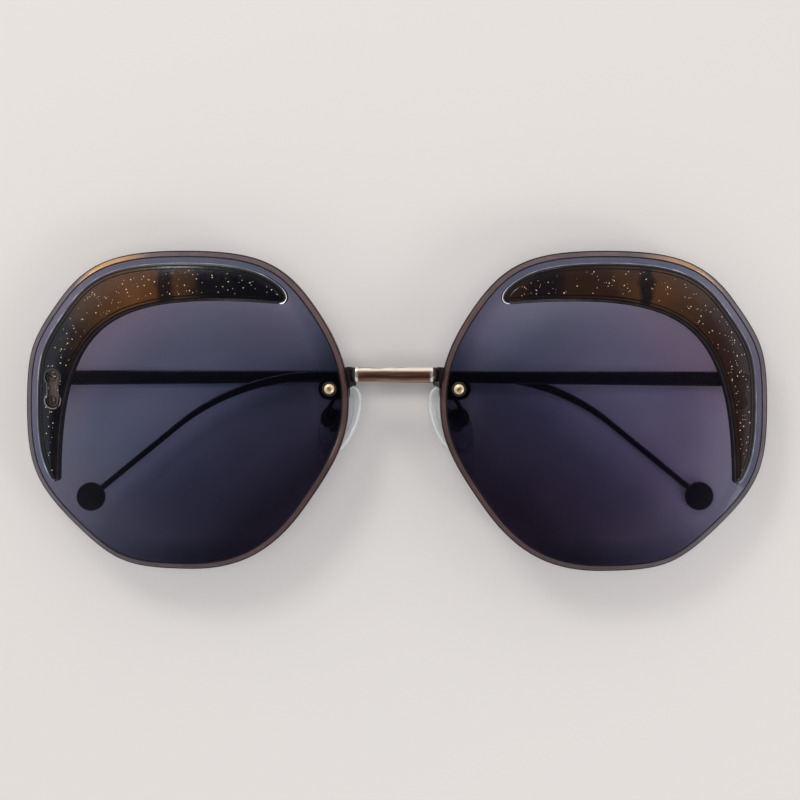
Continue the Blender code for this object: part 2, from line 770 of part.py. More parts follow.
# Bridge
def lug_outline():
    """The lug behind the lens: round at its eye, with its heel under the bar's end only."""
    claw = BRIDGE_HOLE_INSET + LENS_GAP / 2 - bar_half_length()
    heel = claw + bar_leg_width()
    low = BRIDGE_BAR_RISE - BRIDGE_HOLE_RISE - BRIDGE_BAR_HEIGHT / 2
    top = low + BRIDGE_BAR_HEIGHT
    eye = LUG_EYE_RADIUS
    waist = heel - bar_leg_width() - LUG_HEEL_ROUND - CLAW_THICKNESS
    corners = [
        (0, -eye, 0),
        (LUG_HEEL_ROUND - BRIDGE_HOLE_INSET, -eye, LUG_HEEL_ROUND),
        (-claw - CLAW_THICKNESS - SEAT_GAP, -eye / 3 - SEAT_GAP, LUG_HEEL_ROUND),
        (-heel, low, LUG_HEEL_ROUND),
        (-heel, top, LUG_HEEL_ROUND),
        (-waist, top, LUG_HEEL_ROUND),
        (-waist + LUG_HEEL_ROUND, eye, LUG_HEEL_ROUND),
        (0, eye, 0),
    ]
    return rounded(corners) + arc((0, 0), eye, math.pi / 2, -math.pi / 2, ROUND_SIDES // 2)[1:-1]


def bar_half_length():
    return LENS_GAP / 2 - BRIDGE_EDGE_CLEARANCE


def bar_leg_width():
    return BRIDGE_BAR_DEPTH * 2 / 3


def build_lug(surfaces):
    frame = hole_frame()
    under = -SEAT_GAP - LUG_THICKNESS
    lug = add_part("bridge_lug_right", slab(lug_outline(), under, -SEAT_GAP), surfaces["gunmetal"], frame)
    outer = bar_half_length() - frame.translation.x
    claw = box(
        (outer - CLAW_THICKNESS, -LUG_EYE_RADIUS / 3, under / 2),
        (outer, LUG_EYE_RADIUS * 2 / 3 - SEAT_GAP, CLAW_HEIGHT),
    )
    combine(lug, "UNION", claw, frame)
    hole = SCREW_SHANK_RADIUS + FIT_CLEARANCE
    combine(lug, "DIFFERENCE", rod(hole, under - CUT_OVERRUN, CUT_OVERRUN), frame)
    return lug


def bar_outline():
    """The bar seen from above the face, as X and Z: straight, with both ends turned back."""
    frame = hole_frame()
    half = bar_half_length()
    leg = bar_leg_width()
    front = frame.translation.z + LENS_THICKNESS + BRIDGE_FRONT_PROUD
    seat = frame @ Vector((half - frame.translation.x, 0, 0))
    foot = seat.z + SEAT_GAP
    inner_bend = BRIDGE_BEND_RADIUS - leg / 2
    return rounded(
        (
            (half, foot, 0),
            (half, front, BRIDGE_BEND_RADIUS),
            (-half, front, BRIDGE_BEND_RADIUS),
            (-half, foot, 0),
            (leg - half, foot, 0),
            (leg - half, front - BRIDGE_BAR_DEPTH, inner_bend / 2),
            (half - leg, front - BRIDGE_BAR_DEPTH, inner_bend / 2),
            (half - leg, foot, 0),
        )
    )


def build_bar(surfaces):
    low = BRIDGE_BAR_RISE - BRIDGE_BAR_HEIGHT / 2
    mesh = slab(bar_outline(), low, low + BRIDGE_BAR_HEIGHT)
    bar = add_part("bridge_bar", mesh, surfaces["bridge"], Matrix.Rotation(math.pi / 2, 4, "X"))
    flip_y(bar)
    round_edges(bar, BRIDGE_BAR_EDGE)
    return bar


def build_bridge_screw(surfaces):
    top = LENS_THICKNESS + SEAT_GAP + BUSHING_FLANGE_THICKNESS + SEAT_GAP
    low = -SEAT_GAP - LUG_THICKNESS - SEAT_GAP - NUT_HEIGHT
    crown = SCREW_HEAD_RADIUS * math.cos(math.pi / 6)
    profile = (
        (0, top + SCREW_HEAD_HEIGHT),
        (SCREW_HEAD_RADIUS / 2, top + SCREW_HEAD_HEIGHT),
        (crown, top + SCREW_HEAD_HEIGHT * 3 / 4),
        (SCREW_HEAD_RADIUS, top + SCREW_HEAD_HEIGHT / 3),
        (SCREW_HEAD_RADIUS, top),
        (SCREW_SHANK_RADIUS, top),
        (SCREW_SHANK_RADIUS, low),
        (0, low),
    )
    screw = add_turned("bridge_screw_right", profile, surfaces["gold"], hole_frame())
    lobe = SCREW_HEAD_RADIUS / 4
    floor = top + SCREW_HEAD_HEIGHT - SCREW_RECESS_DEPTH
    left = arc((-lobe, 0), lobe, math.pi / 2, math.pi * 3 / 2, FILLET_STEPS)
    right = arc((lobe, 0), lobe, -math.pi / 2, math.pi / 2, FILLET_STEPS)
    recess = slab(left + right, floor, floor + CUT_OVERRUN)
    combine(screw, "DIFFERENCE", recess, hole_frame() @ Matrix.Rotation(math.pi / 4, 4, "Z"))
    return screw


def build_bushing(surfaces):
    bore = SCREW_SHANK_RADIUS + FIT_CLEARANCE
    sleeve = bore + BUSHING_WALL
    seat = LENS_THICKNESS + SEAT_GAP
    top = seat + BUSHING_FLANGE_THICKNESS
    profile = (
        (bore, top),
        (BUSHING_FLANGE_RADIUS, top),
        (BUSHING_FLANGE_RADIUS, seat),
        (sleeve, seat),
        (sleeve, SEAT_GAP),
        (bore, SEAT_GAP),
        (bore, top),
    )
    return add_turned("bridge_bushing_right", profile, surfaces["bushing"], hole_frame())


def build_nut(surfaces):
    top = -SEAT_GAP - LUG_THICKNESS - SEAT_GAP
    low = top - NUT_HEIGHT
    hexagon = rod(NUT_RADIUS, low, top, sides=6)
    nut = add_part("bridge_nut_right", hexagon, surfaces["gunmetal"], hole_frame())
    bore = SCREW_SHANK_RADIUS + FIT_CLEARANCE
    combine(nut, "DIFFERENCE", rod(bore, low - CUT_OVERRUN, top + CUT_OVERRUN), hole_frame())
    return nut


# Nose pad, its core, box, screw and arm
def pad_outline():
    points = []
    for step in range(PAD_SIDES):
        angle = math.tau * step / PAD_SIDES
        width = PAD_WIDTH / 2 * (1 - PAD_EGG_SHARE * math.sin(angle))
        points.append(Vector((width * math.cos(angle), PAD_LENGTH / 2 * math.sin(angle))))
    return points


def build_pad(surfaces, axis):
    half = PAD_THICKNESS / 2
    outline = pad_outline()
    rings = []
    for size, level in PAD_RING_SHARES:
        rings.append([Vector((*(point * size), half * level)) for point in outline])
    mesh = domed_mesh(rings, Vector((0, 0, half)), Vector((0, 0, -half)), "pad")
    down = Matrix.Translation((0, 0, -pad_pivot_height()))
    pad = add_part("nose_pad_right", mesh, surfaces["silicone"], down, axis)
    pocket = oval(CORE_WIDTH / 2 + FIT_CLEARANCE, CORE_LENGTH / 2 + FIT_CLEARANCE)
    floor = half - CORE_THICKNESS - SEAT_GAP
    combine(pad, "DIFFERENCE", slab(pocket, floor, half + CUT_OVERRUN), down)
    return pad


def oval(half_width, half_length):
    angles = [math.tau * step / ROUND_SIDES for step in range(ROUND_SIDES)]
    return [(half_width * math.cos(a), half_length * math.sin(a)) for a in angles]


def build_core(surfaces, axis):
    """The stiff plate in the pad's front, with the lug that the pad rocks on."""
    face = PAD_THICKNESS / 2 - pad_pivot_height()
    mesh = slab(oval(CORE_WIDTH / 2, CORE_LENGTH / 2), face - CORE_THICKNESS, face)
    core = add_part("pad_core_right", mesh, surfaces["core"], Matrix(), axis)
    half = CORE_LUG_THICKNESS / 2
    foot = face - CORE_THICKNESS / 2
    crown = arc((0, 0), CORE_LUG_RADIUS, 0, math.pi, ROUND_SIDES // 2)
    profile = [(CORE_LUG_RADIUS, foot), *crown, (-CORE_LUG_RADIUS, foot)]
    combine(core, "UNION", slab(profile, -half, half), FROM_THE_END)
    drill = rod(PAD_SCREW_RADIUS + FIT_CLEARANCE, -BOX_RADIUS, BOX_RADIUS)
    combine(core, "DIFFERENCE", drill, lying("X"))
    return core


def build_pad_box(surfaces):
    frame = pad_frame() @ Matrix.Translation((0, 0, pad_pivot_height()))
    cup = add_part("pad_box_right", rod(BOX_RADIUS, -BOX_RIM, box_back()), surfaces["gunmetal"], frame)
    gap = CORE_LUG_THICKNESS / 2 + FIT_CLEARANCE
    half_slot = BOX_SLOT_LENGTH / 2
    slot = box((-gap, -half_slot, -BOX_RIM - CUT_OVERRUN), (gap, half_slot, box_back() - BOX_WALL))
    combine(cup, "DIFFERENCE", slot, frame)
    reach = BOX_RADIUS + CUT_OVERRUN
    combine(cup, "DIFFERENCE", rod(PAD_SCREW_RADIUS + FIT_CLEARANCE, -reach, reach), frame @ lying("X"))
    return cup


def build_pad_screw(surfaces):
    frame = pad_frame() @ Matrix.Translation((0, 0, pad_pivot_height())) @ lying("X")
    under = BOX_RADIUS + SEAT_GAP
    profile = (
        (0, under + PAD_SCREW_HEAD_HEIGHT),
        (PAD_SCREW_HEAD_RADIUS, under + PAD_SCREW_HEAD_HEIGHT),
        (PAD_SCREW_HEAD_RADIUS, under),
        (PAD_SCREW_RADIUS, under),
        (PAD_SCREW_RADIUS, -BOX_RADIUS),
        (0, -BOX_RADIUS),
    )
    return add_turned("pad_screw_right", profile, surfaces["gunmetal"], frame)


def build_pad_arm(surfaces):
    """A round wire from the back of the lug to the back of the pad's box."""
    under = -SEAT_GAP - LUG_THICKNESS - SEAT_GAP
    start = hole_frame() @ Vector((-PAD_ARM_INSET, -LUG_EYE_RADIUS / 2, under))
    below = hole_frame() @ Vector((-PAD_ARM_INSET, -LUG_EYE_RADIUS / 2, under - PAD_ARM_LEAD))
    back = pad_pivot_height() + box_back() + SEAT_GAP
    lead = pad_frame() @ Vector((0, 0, back + PAD_ARM_LEAD))
    end = pad_frame() @ Vector((0, 0, back))
    curve = bpy.data.curves.new("pad_arm", "CURVE")
    curve.dimensions = "3D"
    curve.bevel_depth = PAD_ARM_RADIUS
    curve.bevel_resolution = 2
    curve.resolution_u = 4
    curve.use_fill_caps = True
    line = curve.splines.new("BEZIER")
    line.bezier_points.add(1)
    for knot, point, handle in zip(line.bezier_points, (start, end), (below, lead)):
        reach = (handle - point) * 2
        knot.co = point
        knot.handle_left = point + reach if knot == line.bezier_points[1] else point - reach
        knot.handle_right = point - reach if knot == line.bezier_points[1] else point + reach
    return add_part("pad_arm_right", curve_mesh(curve), surfaces["gunmetal"])


# Temple, its half of the hinge and its round tip
def temple_stations():
    """Points down the middle of the temple with its direction and half width at each."""
    rise = TEMPLE_RISE_ANGLE
    stations = [(Vector((0, 0)), rise, TEMPLE_WIDTH / 2)]
    start = Vector((math.cos(rise), math.sin(rise))) * temple_straight()
    centre = start + Vector((math.sin(rise), -math.cos(rise))) * EAR_BEND_RADIUS
    for step in range(EAR_BEND_STEPS + 1):
        share = step / EAR_BEND_STEPS
        heading = rise - EAR_BEND_ANGLE * share
        point = centre + Vector((-math.sin(heading), math.cos(heading))) * EAR_BEND_RADIUS
        width = TEMPLE_BEND_WIDTH + (TEMPLE_TAIL_WIDTH - TEMPLE_BEND_WIDTH) * share
        stations.append((point, heading, width / 2))
    heading = rise - EAR_BEND_ANGLE
    along = Vector((math.cos(heading), math.sin(heading)))
    shoulder = TEMPLE_TAIL - TIP_RADIUS - SEAT_GAP
    stations.append((stations[-1][0] + along * shoulder, heading, TEMPLE_TAIL_WIDTH / 2))
    return stations


def temple_outline():
    upper = []
    lower = []
    for point, heading, half in temple_stations():
        across = Vector((-math.sin(heading), math.cos(heading))) * half
        upper.append(point + across)
        lower.append(point - across)
    return [(-point.x, point.y) for point in upper + lower[::-1]]


def tongue_frame():
    """The end of the temple's tail: X runs on towards the tip, and Z is up."""
    point, heading, half = temple_stations()[-1]
    return Matrix.Translation((-point.x, point.y, 0)) @ Matrix.Rotation(math.pi - heading, 4, "Z")


def temple_faces():
    """Heights of the band's outer and inner faces below the hinge's axis."""
    inner = -HINGE_BARREL_RADIUS - HINGE_STAND_OFF
    return inner - TEMPLE_THICKNESS, inner


def build_temple(surfaces, axis):
    outer, inner = temple_faces()
    band = slab(temple_outline(), outer, inner)
    temple = add_part("temple_right", band, surfaces["gunmetal"], Matrix(), axis)
    round_edges(temple, TEMPLE_EDGE, steps=1)
    low = outer + TONGUE_RAISE
    half = TONGUE_WIDTH / 2
    tongue = box((-TEMPLE_EDGE * 2, -half, low), (TONGUE_LENGTH, half, low + TONGUE_THICKNESS))
    combine(temple, "UNION", tongue, tongue_frame())
    return temple


def build_tip(surfaces, axis):
    outer, inner = temple_faces()
    centre = tongue_frame() @ Matrix.Translation((TIP_RADIUS + SEAT_GAP, 0, 0))
    disc = rod(TIP_RADIUS, outer, outer + TIP_THICKNESS, sides=2 * ROUND_SIDES)
    tip = add_part("temple_tip_right", disc, surfaces["tip"], centre, axis)
    round_edges(tip, TIP_EDGE)
    half = TONGUE_WIDTH / 2 + FIT_CLEARANCE
    low = outer + TONGUE_RAISE - FIT_CLEARANCE
    high = outer + TONGUE_RAISE + TONGUE_THICKNESS + FIT_CLEARANCE
    socket = box((-CUT_OVERRUN, -half, low), (TONGUE_LENGTH + FIT_CLEARANCE, half, high))
    combine(tip, "DIFFERENCE", socket, tongue_frame())
    return tip


def build_temple_hinge(surfaces, axis):
    """A leaf on the temple's inner face, with the middle knuckle."""
    outer, inner = temple_faces()
    half_barrel = HINGE_MIDDLE_HEIGHT / 2
    low = inner + SEAT_GAP
    clear = HINGE_BARREL_RADIUS + HINGE_STAND_OFF
    half_leaf = TEMPLE_WIDTH / 2 - TEMPLE_EDGE
    rise = HINGE_LEAF_LENGTH * math.sin(TEMPLE_RISE_ANGLE)
    corners = (
        (0, half_barrel, 0),
        (-clear, half_barrel, 0),
        (-clear, half_leaf, 0),
        (-HINGE_LEAF_LENGTH, half_leaf + rise, half_leaf / 2),
        (-HINGE_LEAF_LENGTH, -half_leaf + rise, half_leaf / 2),
        (-clear, -half_leaf, 0),
        (-clear, -half_barrel, 0),
        (0, -half_barrel, 0),
    )
    leaf = slab(rounded(corners), low, low + HINGE_LEAF_THICKNESS)
    hinge = add_part("temple_hinge_right", leaf, surfaces["gunmetal"], Matrix(), axis)
    combine(hinge, "UNION", rod(HINGE_BARREL_RADIUS, -half_barrel, half_barrel), lying("Y"))
    bore = rod(HINGE_SCREW_RADIUS + FIT_CLEARANCE, -HINGE_BARREL_HEIGHT, HINGE_BARREL_HEIGHT)
    combine(hinge, "DIFFERENCE", bore, lying("Y"))
    return hinge


def make_finishes():
    return {
        "lens": finish("lens_tint", (0.09, 0.10, 0.16), 0.05, transmission=0.6),
        "inlay": finish("glitter_acetate", (0.06, 0.035, 0.02), 0.12),
        "bridge": finish("polished_gunmetal", (0.32, 0.24, 0.22), 0.15, metallic=1.0),
        "gunmetal": finish("dark_gunmetal", (0.09, 0.08, 0.085), 0.3, metallic=1.0),
        "gold": finish("pale_gold", (0.86, 0.68, 0.45), 0.22, metallic=1.0),
        "bushing": finish("dark_bushing", (0.03, 0.025, 0.03), 0.4),
        "silicone": finish("clear_silicone", (0.82, 0.86, 0.88), 0.15, transmission=0.8),
        "core": finish("pad_core", (0.6, 0.62, 0.65), 0.25, metallic=0.6),
        "tip": finish("black_tip", (0.012, 0.012, 0.015), 0.35),
    }


def build():
    clear_scene()
    surfaces = make_finishes()
    build_bar(surfaces)
    front = [
        build_lens(surfaces),
        build_inlay(surfaces),
        build_lug(surfaces),
        build_bridge_screw(surfaces),
        build_bushing(surfaces),
        build_nut(surfaces),
        build_pad_arm(surfaces),
        build_pad_box(surfaces),
        build_pad_screw(surfaces),
        build_endpiece(surfaces),
        *build_boss_screws(surfaces),
        build_hinge_screw(surfaces),
    ]
    pivot = pad_frame() @ Matrix.Translation((0, 0, pad_pivot_height()))
    pad_axis = add_axis("pad_axis_right", pivot)
    pads = [build_pad(surfaces, pad_axis), build_core(surfaces, pad_axis)]
    lean = Matrix.Rotation(nest_angle(), 4, "Y")
    temple_axis = add_axis("temple_axis_right", Matrix.Translation(hinge_place()) @ lean)
    arms = [
        build_temple(surfaces, temple_axis),
        build_tip(surfaces, temple_axis),
        build_temple_hinge(surfaces, temple_axis),
    ]
    for part in front:
        add_twin(part, None)
    left_pad_axis = add_axis("pad_axis_left", MIRROR_X @ pivot @ MIRROR_X)
    for part in pads:
        add_twin(part, left_pad_axis)
    left_hinge = MIRROR_X @ Matrix.Translation(hinge_place()) @ MIRROR_X
    left_temple_axis = add_axis("temple_axis_left", left_hinge)
    for part in arms:
        add_twin(part, left_temple_axis)


build()
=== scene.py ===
"""The look of the rimless sunglasses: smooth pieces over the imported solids, and their finishes.

Metres, +Z up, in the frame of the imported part. Right-hand shapes are modelled and mirrored.
"""

import math
import random

import bmesh
import bpy
from mathutils import Matrix
from mathutils import Vector
from mathutils import geometry


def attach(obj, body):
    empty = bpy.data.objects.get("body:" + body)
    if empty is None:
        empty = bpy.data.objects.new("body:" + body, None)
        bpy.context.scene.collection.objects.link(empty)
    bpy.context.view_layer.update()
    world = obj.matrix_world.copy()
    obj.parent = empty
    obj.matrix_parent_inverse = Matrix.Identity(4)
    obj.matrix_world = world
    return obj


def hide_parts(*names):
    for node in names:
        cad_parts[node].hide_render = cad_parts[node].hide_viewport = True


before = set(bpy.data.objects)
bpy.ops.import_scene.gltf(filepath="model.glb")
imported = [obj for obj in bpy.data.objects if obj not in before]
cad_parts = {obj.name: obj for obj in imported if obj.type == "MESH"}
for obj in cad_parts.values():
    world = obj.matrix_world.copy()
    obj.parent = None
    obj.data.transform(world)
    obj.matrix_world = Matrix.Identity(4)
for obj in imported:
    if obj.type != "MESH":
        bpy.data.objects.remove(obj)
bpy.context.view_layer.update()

# Lens, as packed
LENS_WIDTH = 0.0630
LENS_HEIGHT = 0.0614
LENS_GAP = 0.0175
LENS_THICKNESS = 0.0020
LENS_CURVE_RADIUS = 0.190
LENS_WRAP_ANGLE = math.radians(4.0)
LENS_CORNERS = (
    (-1.0, 0.363, 1.08),
    (-0.545, 1.0, 1.44),
    (0.568, 1.0, 1.33),
    (1.0, 0.404, 2.1),
    (1.0, -0.426, 1.6),
    (0.426, -1.0, 1.95),
    (-0.454, -1.0, 1.13),
    (-1.0, -0.216, 1.45),
)
LENS_STEPS = 28

# The lens's facet and its dark lines
LENS_FACET_WIDTH = 0.0011
LENS_FACET_DEPTH = 0.0005
LENS_LINE_WIDTH = 0.0001
LENS_LINE_INSET = 0.0002
LENS_CHAMFER = 0.00012
LENS_RIM_WIDTH = 0.00022
SLOT_CHAMFER = 0.00016
LENS_FACET_TOP_SHARE = 0.15
LENS_GRID = 0.0026
LENS_GRID_MARGIN = 0.4

# Crescent inlay, as packed, and its finer edges
INLAY_MARGIN = 0.00275
INLAY_PROUD = 0.00035
INLAY_BEVEL_WIDTH = 0.00085
INLAY_BEVEL_DEPTH = 0.00022
INLAY_LINE_SHARE = 0.27
INLAY_SPAN = (1.29, 4.60)
INLAY_INNER = ((-0.575, 0.682), (0.765, 0.790), (0.806, -0.425))
INLAY_INNER_PULL = 1.56
INLAY_STEPS = 72
INLAY_TIP_STEPS = 6
INLAY_CROWN = 0.00012
INLAY_ACROSS = 6
# The finish of each band from the back to the top: 0 is acetate and 1 a black line; the outer black
# bands are painted shade of the gap round the inlay
INLAY_BANDS = (0, 0, 1, 1, 0, 1, 0)
SEAM_WIDTH = 0.00028
AMBER_PLACE = (0.0505, 0.0225)
AMBER_REACH = 0.0195
# Where a warm lamp's gold glint is painted on the lens's facet, and how far it reaches
GLINT_PLACE = (0.0545, 0.0280)
GLINT_REACH = 0.0080
# How far from the nose the painted copper reflection on the lens's facet reaches
COPPER_REFLECTION_REACH = 0.060
PATCHES = ((-0.0358, 0.0021), (-0.0440, 0.0021), (0.0284, 0.0048), (0.0478, 0.0017))
PATCH_FLOOR = 0.020
# Where the white painted glint at the slot's nasal tip sits, and how far it reaches
SLOT_TIP_GLINT_PLACE = (0.0216, 0.0210)
SLOT_TIP_GLINT_REACH = 0.0029
WINDOW_SHIFT = 0.2

# Glitter flakes under the inlay's top
FLAKES = 150
FLAKE_SEEDS = (("right", 5), ("left", 11))
FLAKE_CLUSTERS = 9
FLAKE_FULL_WIDTH = 0.0064
FLAKE_RADII = (0.00006, 0.00007, 0.00008, 0.0001, 0.00013)
FLAKE_LEAN = 0.1
# Shares of the inlay's length and width
FLAKE_CENTRES = (0.1, 0.9)
FLAKE_CLUSTER_SPREAD = 0.08
FLAKE_LOOSE_SHARE = 0.75
FLAKE_ALONG = (0.06, 0.92)
FLAKE_ACROSS = (0.04, 0.96)
FLAKE_SIDES = (5, 6, 6, 7)
FLAKE_SQUASH = (0.75, 1.1)
FLAKE_TOP_SHARE = 0.85
FLAKE_DEPTH = 0.00003
FLAKE_PROUD = 0.000014

# Bridge, screws and lugs
BRIDGE_HOLE_INSET = 0.00385
BRIDGE_HOLE_RISE = 0.0043
BRIDGE_BAR_RISE = 0.0071
BRIDGE_BAR_HEIGHT = 0.0028
BRIDGE_BAR_DEPTH = 0.0017
BRIDGE_BEND_RADIUS = 0.0014
BRIDGE_EDGE_CLEARANCE = 0.0003
BRIDGE_FRONT_PROUD = 0.0004
BRIDGE_BEND_STEPS = 14
LUG_THICKNESS = 0.0009
LUG_EYE_RADIUS = 0.0021
SCREW_SHANK_RADIUS = 0.00055
SCREW_HEAD_RADIUS = 0.00095
SCREW_HEAD_HEIGHT = 0.00045
SCREW_RECESS_DEPTH = 0.00018
SCREW_CROWN = 0.62
SCREW_CROWN_POWER = 2.6
SCREW_CROWN_STEPS = 12
BUSHING_WALL = 0.00025
BUSHING_FLANGE_RADIUS = 0.00138
BUSHING_FLANGE_THICKNESS = 0.00025
NUT_HEIGHT = 0.0008
SEAT_GAP = 0.0001
FIT_CLEARANCE = 0.0001
CUT_REACH = 0.0005
RECESS_REACH = 0.0006
LUG_TRIM = (
    (-0.0080, -0.0030),
    (-0.0040, -0.0030),
    (-0.0040, 0.00015),
    (-0.0044, 0.00055),
    (-0.0080, 0.00055),
)
LUG_TRIM_HEIGHT = 0.004
# Shares of the bar's half height, and of its depth from its face
BAR_FACE_SHARE = 0.74
BAR_FACE_STEPS = 8
BAR_HOLLOW = 0.13
BAR_SIDE = (
    (0.86, 0.19), (0.94, 0.28), (0.985, 0.4), (1.0, 0.55), (0.99, 0.7), (0.94, 0.85), (0.86, 0.95),
)

# Nose pads
PAD_LENGTH = 0.0145
PAD_WIDTH = 0.0086
PAD_THICKNESS = 0.0024
PAD_CENTRE_X = 0.0107
PAD_DROP = 0.0023
PAD_DEPTH = 0.0056
PAD_SPLAY_ANGLE = math.radians(37.0)
PAD_FLARE_ANGLE = math.radians(27.0)
PAD_EGG = 0.10
PAD_ROCK_GAP = 0.0004
BOX_RADIUS = 0.0020
BOX_RIM = 0.0009
BOX_WALL = 0.0004
CORE_LUG_RADIUS = 0.0008
CORE_LENGTH = 0.0052
CORE_WIDTH = 0.0034
CORE_THICKNESS = 0.0005
PAD_ARM_RADIUS = 0.00045
PAD_ARM_LEAD = 0.0010
PAD_ARM_INSET = 0.0018
# Shares of the pad's outline and of its half thickness, from its front face to its back
PAD_SECTION = (
    (0.2, 0.93), (0.4, 0.92), (0.55, 0.90), (0.66, 0.87), (0.71, 0.85), (0.75, 0.87), (0.79, 0.95),
    (0.83, 0.995), (0.88, 0.97), (0.935, 0.84), (0.975, 0.68), (0.998, 0.45), (1.0, 0.2),
    (0.995, 0.0), (0.975, -0.18), (0.93, -0.36), (0.84, -0.55), (0.7, -0.74), (0.5, -0.9),
    (0.25, -0.985),
)
# Bands of the pad's ridge that take the whiter silicone: painted highlight lines
PAD_HIGHLIGHT_BANDS = (5, 6, 10, 11)

# Endpiece and hinge
ENDPIECE_INSET = 0.0052
ENDPIECE_RISE = 0.0041
ENDPIECE_DEPTH = 0.0080
BOSS_SPACING = 0.0045
BOSS_RADIUS = 0.0013
BOSS_NECK = 0.0018
BOSS_HEIGHT = 0.0005
BOSS_SCREW_DEPTH = 0.0006
HINGE_RISE = 0.0058
HINGE_OUTSET = 0.0007
HINGE_BARREL_RADIUS = 0.0011
HINGE_BARREL_HEIGHT = 0.0032
HINGE_STAND_OFF = 0.0003

# Small screws: the radius of the shank and of the head, and the head's height
BOSS_SCREW = (0.00045, 0.00075, 0.0003)
HINGE_SCREW = (0.0004, 0.0007, 0.0003)
PAD_SCREW = (0.0004, 0.0007, 0.0003)

# Temple
TEMPLE_THICKNESS = 0.0011
TEMPLE_WIDTH = 0.0030
TEMPLE_BEND_WIDTH = 0.0020
TEMPLE_TAIL_WIDTH = 0.0012
TEMPLE_ROUND = 0.00028
TEMPLE_STEPS = 12
EAR_BEND_INSET = 0.0516
TEMPLE_RISE_ANGLE = math.radians(0.35)
EAR_BEND_RADIUS = 0.0430
EAR_BEND_ANGLE = math.radians(39.6)
EAR_BEND_STEPS = 40
TEMPLE_TAIL = 0.0222
TEMPLE_NEST_GAP = 0.00035
TIP_RADIUS = 0.0028
TIP_THICKNESS = 0.0017
TIP_ROUND = 0.00035

# Widths of the rounded edges of the copied pieces
LUG_EDGE = 0.00018
NUT_EDGE = 0.0001
PAD_BOX_EDGE = 0.0001
PAD_CORE_EDGE = 0.00006
ENDPIECE_EDGE = 0.00012
HINGE_EDGE = 0.00008

ROUND_SIDES = 48
SHARP_ANGLE = math.radians(30.0)

# Colours at their places on a ramp
# Painted reflection across the bridge bar: cream along its top, red-brown below
BAR_REFLECTION_COLOURS = (
    (0.0, (0.30, 0.22, 0.18)), (0.10, (0.30, 0.20, 0.16)), (0.20, (0.15, 0.065, 0.042)),
    (0.42, (0.14, 0.055, 0.036)), (0.50, (0.32, 0.17, 0.11)), (0.57, (0.18, 0.08, 0.055)),
    (0.67, (0.46, 0.29, 0.21)), (0.77, (0.86, 0.72, 0.60)), (0.95, (0.86, 0.77, 0.68)),
    (1.0, (0.30, 0.22, 0.18)),
)
# Painted highlight, then painted shade, where the bar bends back at each end
BAR_END_HIGHLIGHT_AND_SHADE = ((0.80, 0.835, (0.88, 0.82, 0.76)), (0.862, 0.885, (0.035, 0.026, 0.022)))
# Lens tints with painted shade, from dense (down and towards the nose) to light (up and out)
LENS_SHADED_TINTS = (
    (0.06, (0.22, 0.20, 0.28)), (0.20, (0.36, 0.345, 0.455)), (0.33, (0.44, 0.44, 0.56)),
    (0.44, (0.59, 0.59, 0.725)), (0.57, (0.67, 0.68, 0.80)), (0.70, (0.72, 0.74, 0.86)),
    (0.85, (0.84, 0.81, 0.93)),
)
# Warm and cool blotches in the lens's tint: painted faint coloured reflections
LENS_REFLECTION_TINTS = ((0.35, (0.926, 0.965, 0.955)), (0.65, (0.975, 0.917, 0.936)))
# Painted glints along the slot's chamfer, from dark to bright
SLOT_EDGE_GLINT_COLOURS = ((0.35, (0.22, 0.24, 0.31)), (0.56, (0.40, 0.42, 0.50)), (0.72, (0.90, 0.93, 0.98)))
ACETATE_COLOURS = (
    (0.0, (0.0020, 0.0014, 0.0030)), (0.18, (0.007, 0.004, 0.004)), (0.38, (0.042, 0.020, 0.010)),
    (0.8, (0.086, 0.035, 0.012)), (1.0, (0.11, 0.046, 0.016)),
)
FLAKE_COLOURS = (
    (0.0, (1.0, 0.93, 0.82)), (0.4, (0.88, 0.68, 0.44)),
    (0.7, (0.72, 0.52, 0.34)), (1.0, (1.0, 0.97, 0.92)),
)
DOME_COLOURS = (
    (0.0, (0.46, 0.455, 0.45)), (0.30, (0.72, 0.71, 0.70)), (0.78, (0.84, 0.83, 0.82)),
    (0.86, (0.26, 0.26, 0.27)), (0.92, (0.08, 0.08, 0.09)),
)
PALE = (0.785, 0.755, 0.735)

# Floor, lamps and camera
FLOOR_Z = -0.00005
FLOOR_SIZE = 3.0
LAMP_TARGET = Vector((0, 0, 0.01))
# Name, place, size, power and colour
LAMPS = (
    ("overhead", (0, 0, 1.0), (0.45, 0.45), 2.5, (1.0, 1.0, 1.0)),
    ("key", (-0.20, 0.38, 0.48), (0.16, 0.16), 0.7, (1.0, 0.985, 0.96)),
    ("side", (0.46, -0.26, 0.46), (0.12, 0.24), 0.5, (0.97, 0.98, 1.0)),
    ("warm_left", (-0.52, 0.44, 0.09), (0.16, 0.12), 0.3, (1.0, 0.74, 0.42)),
    ("warm_right", (0.52, 0.44, 0.09), (0.16, 0.12), 0.3, (1.0, 0.74, 0.42)),
)
CAMERA_PLACE = (0.0102, 0.0198, 0.350)
CAMERA_TURNS = (-3.0, 1.56, 0.06)
CAMERA_FOCUS_PIXELS = 1758.8
PHOTO_PIXELS = 800
SENSOR_WIDTH = 36.0

# Places that follow from the sizes
LENS_CENTRE_X = (LENS_GAP + LENS_WIDTH) / 2
ENDPIECE_U = LENS_WIDTH / 2 - ENDPIECE_INSET
HOLE_U = BRIDGE_HOLE_INSET - LENS_WIDTH / 2
HINGE_AXIS_Z = TEMPLE_THICKNESS + HINGE_STAND_OFF + HINGE_BARREL_RADIUS
MIRROR_X = Matrix.Scale(-1, 4, (1, 0, 0))
UP = Vector((0, 0, 1))
HALF = Vector((LENS_WIDTH / 2, LENS_HEIGHT / 2))
TINT, FACET, DARK_LINE, SLOT_EDGE = range(4)


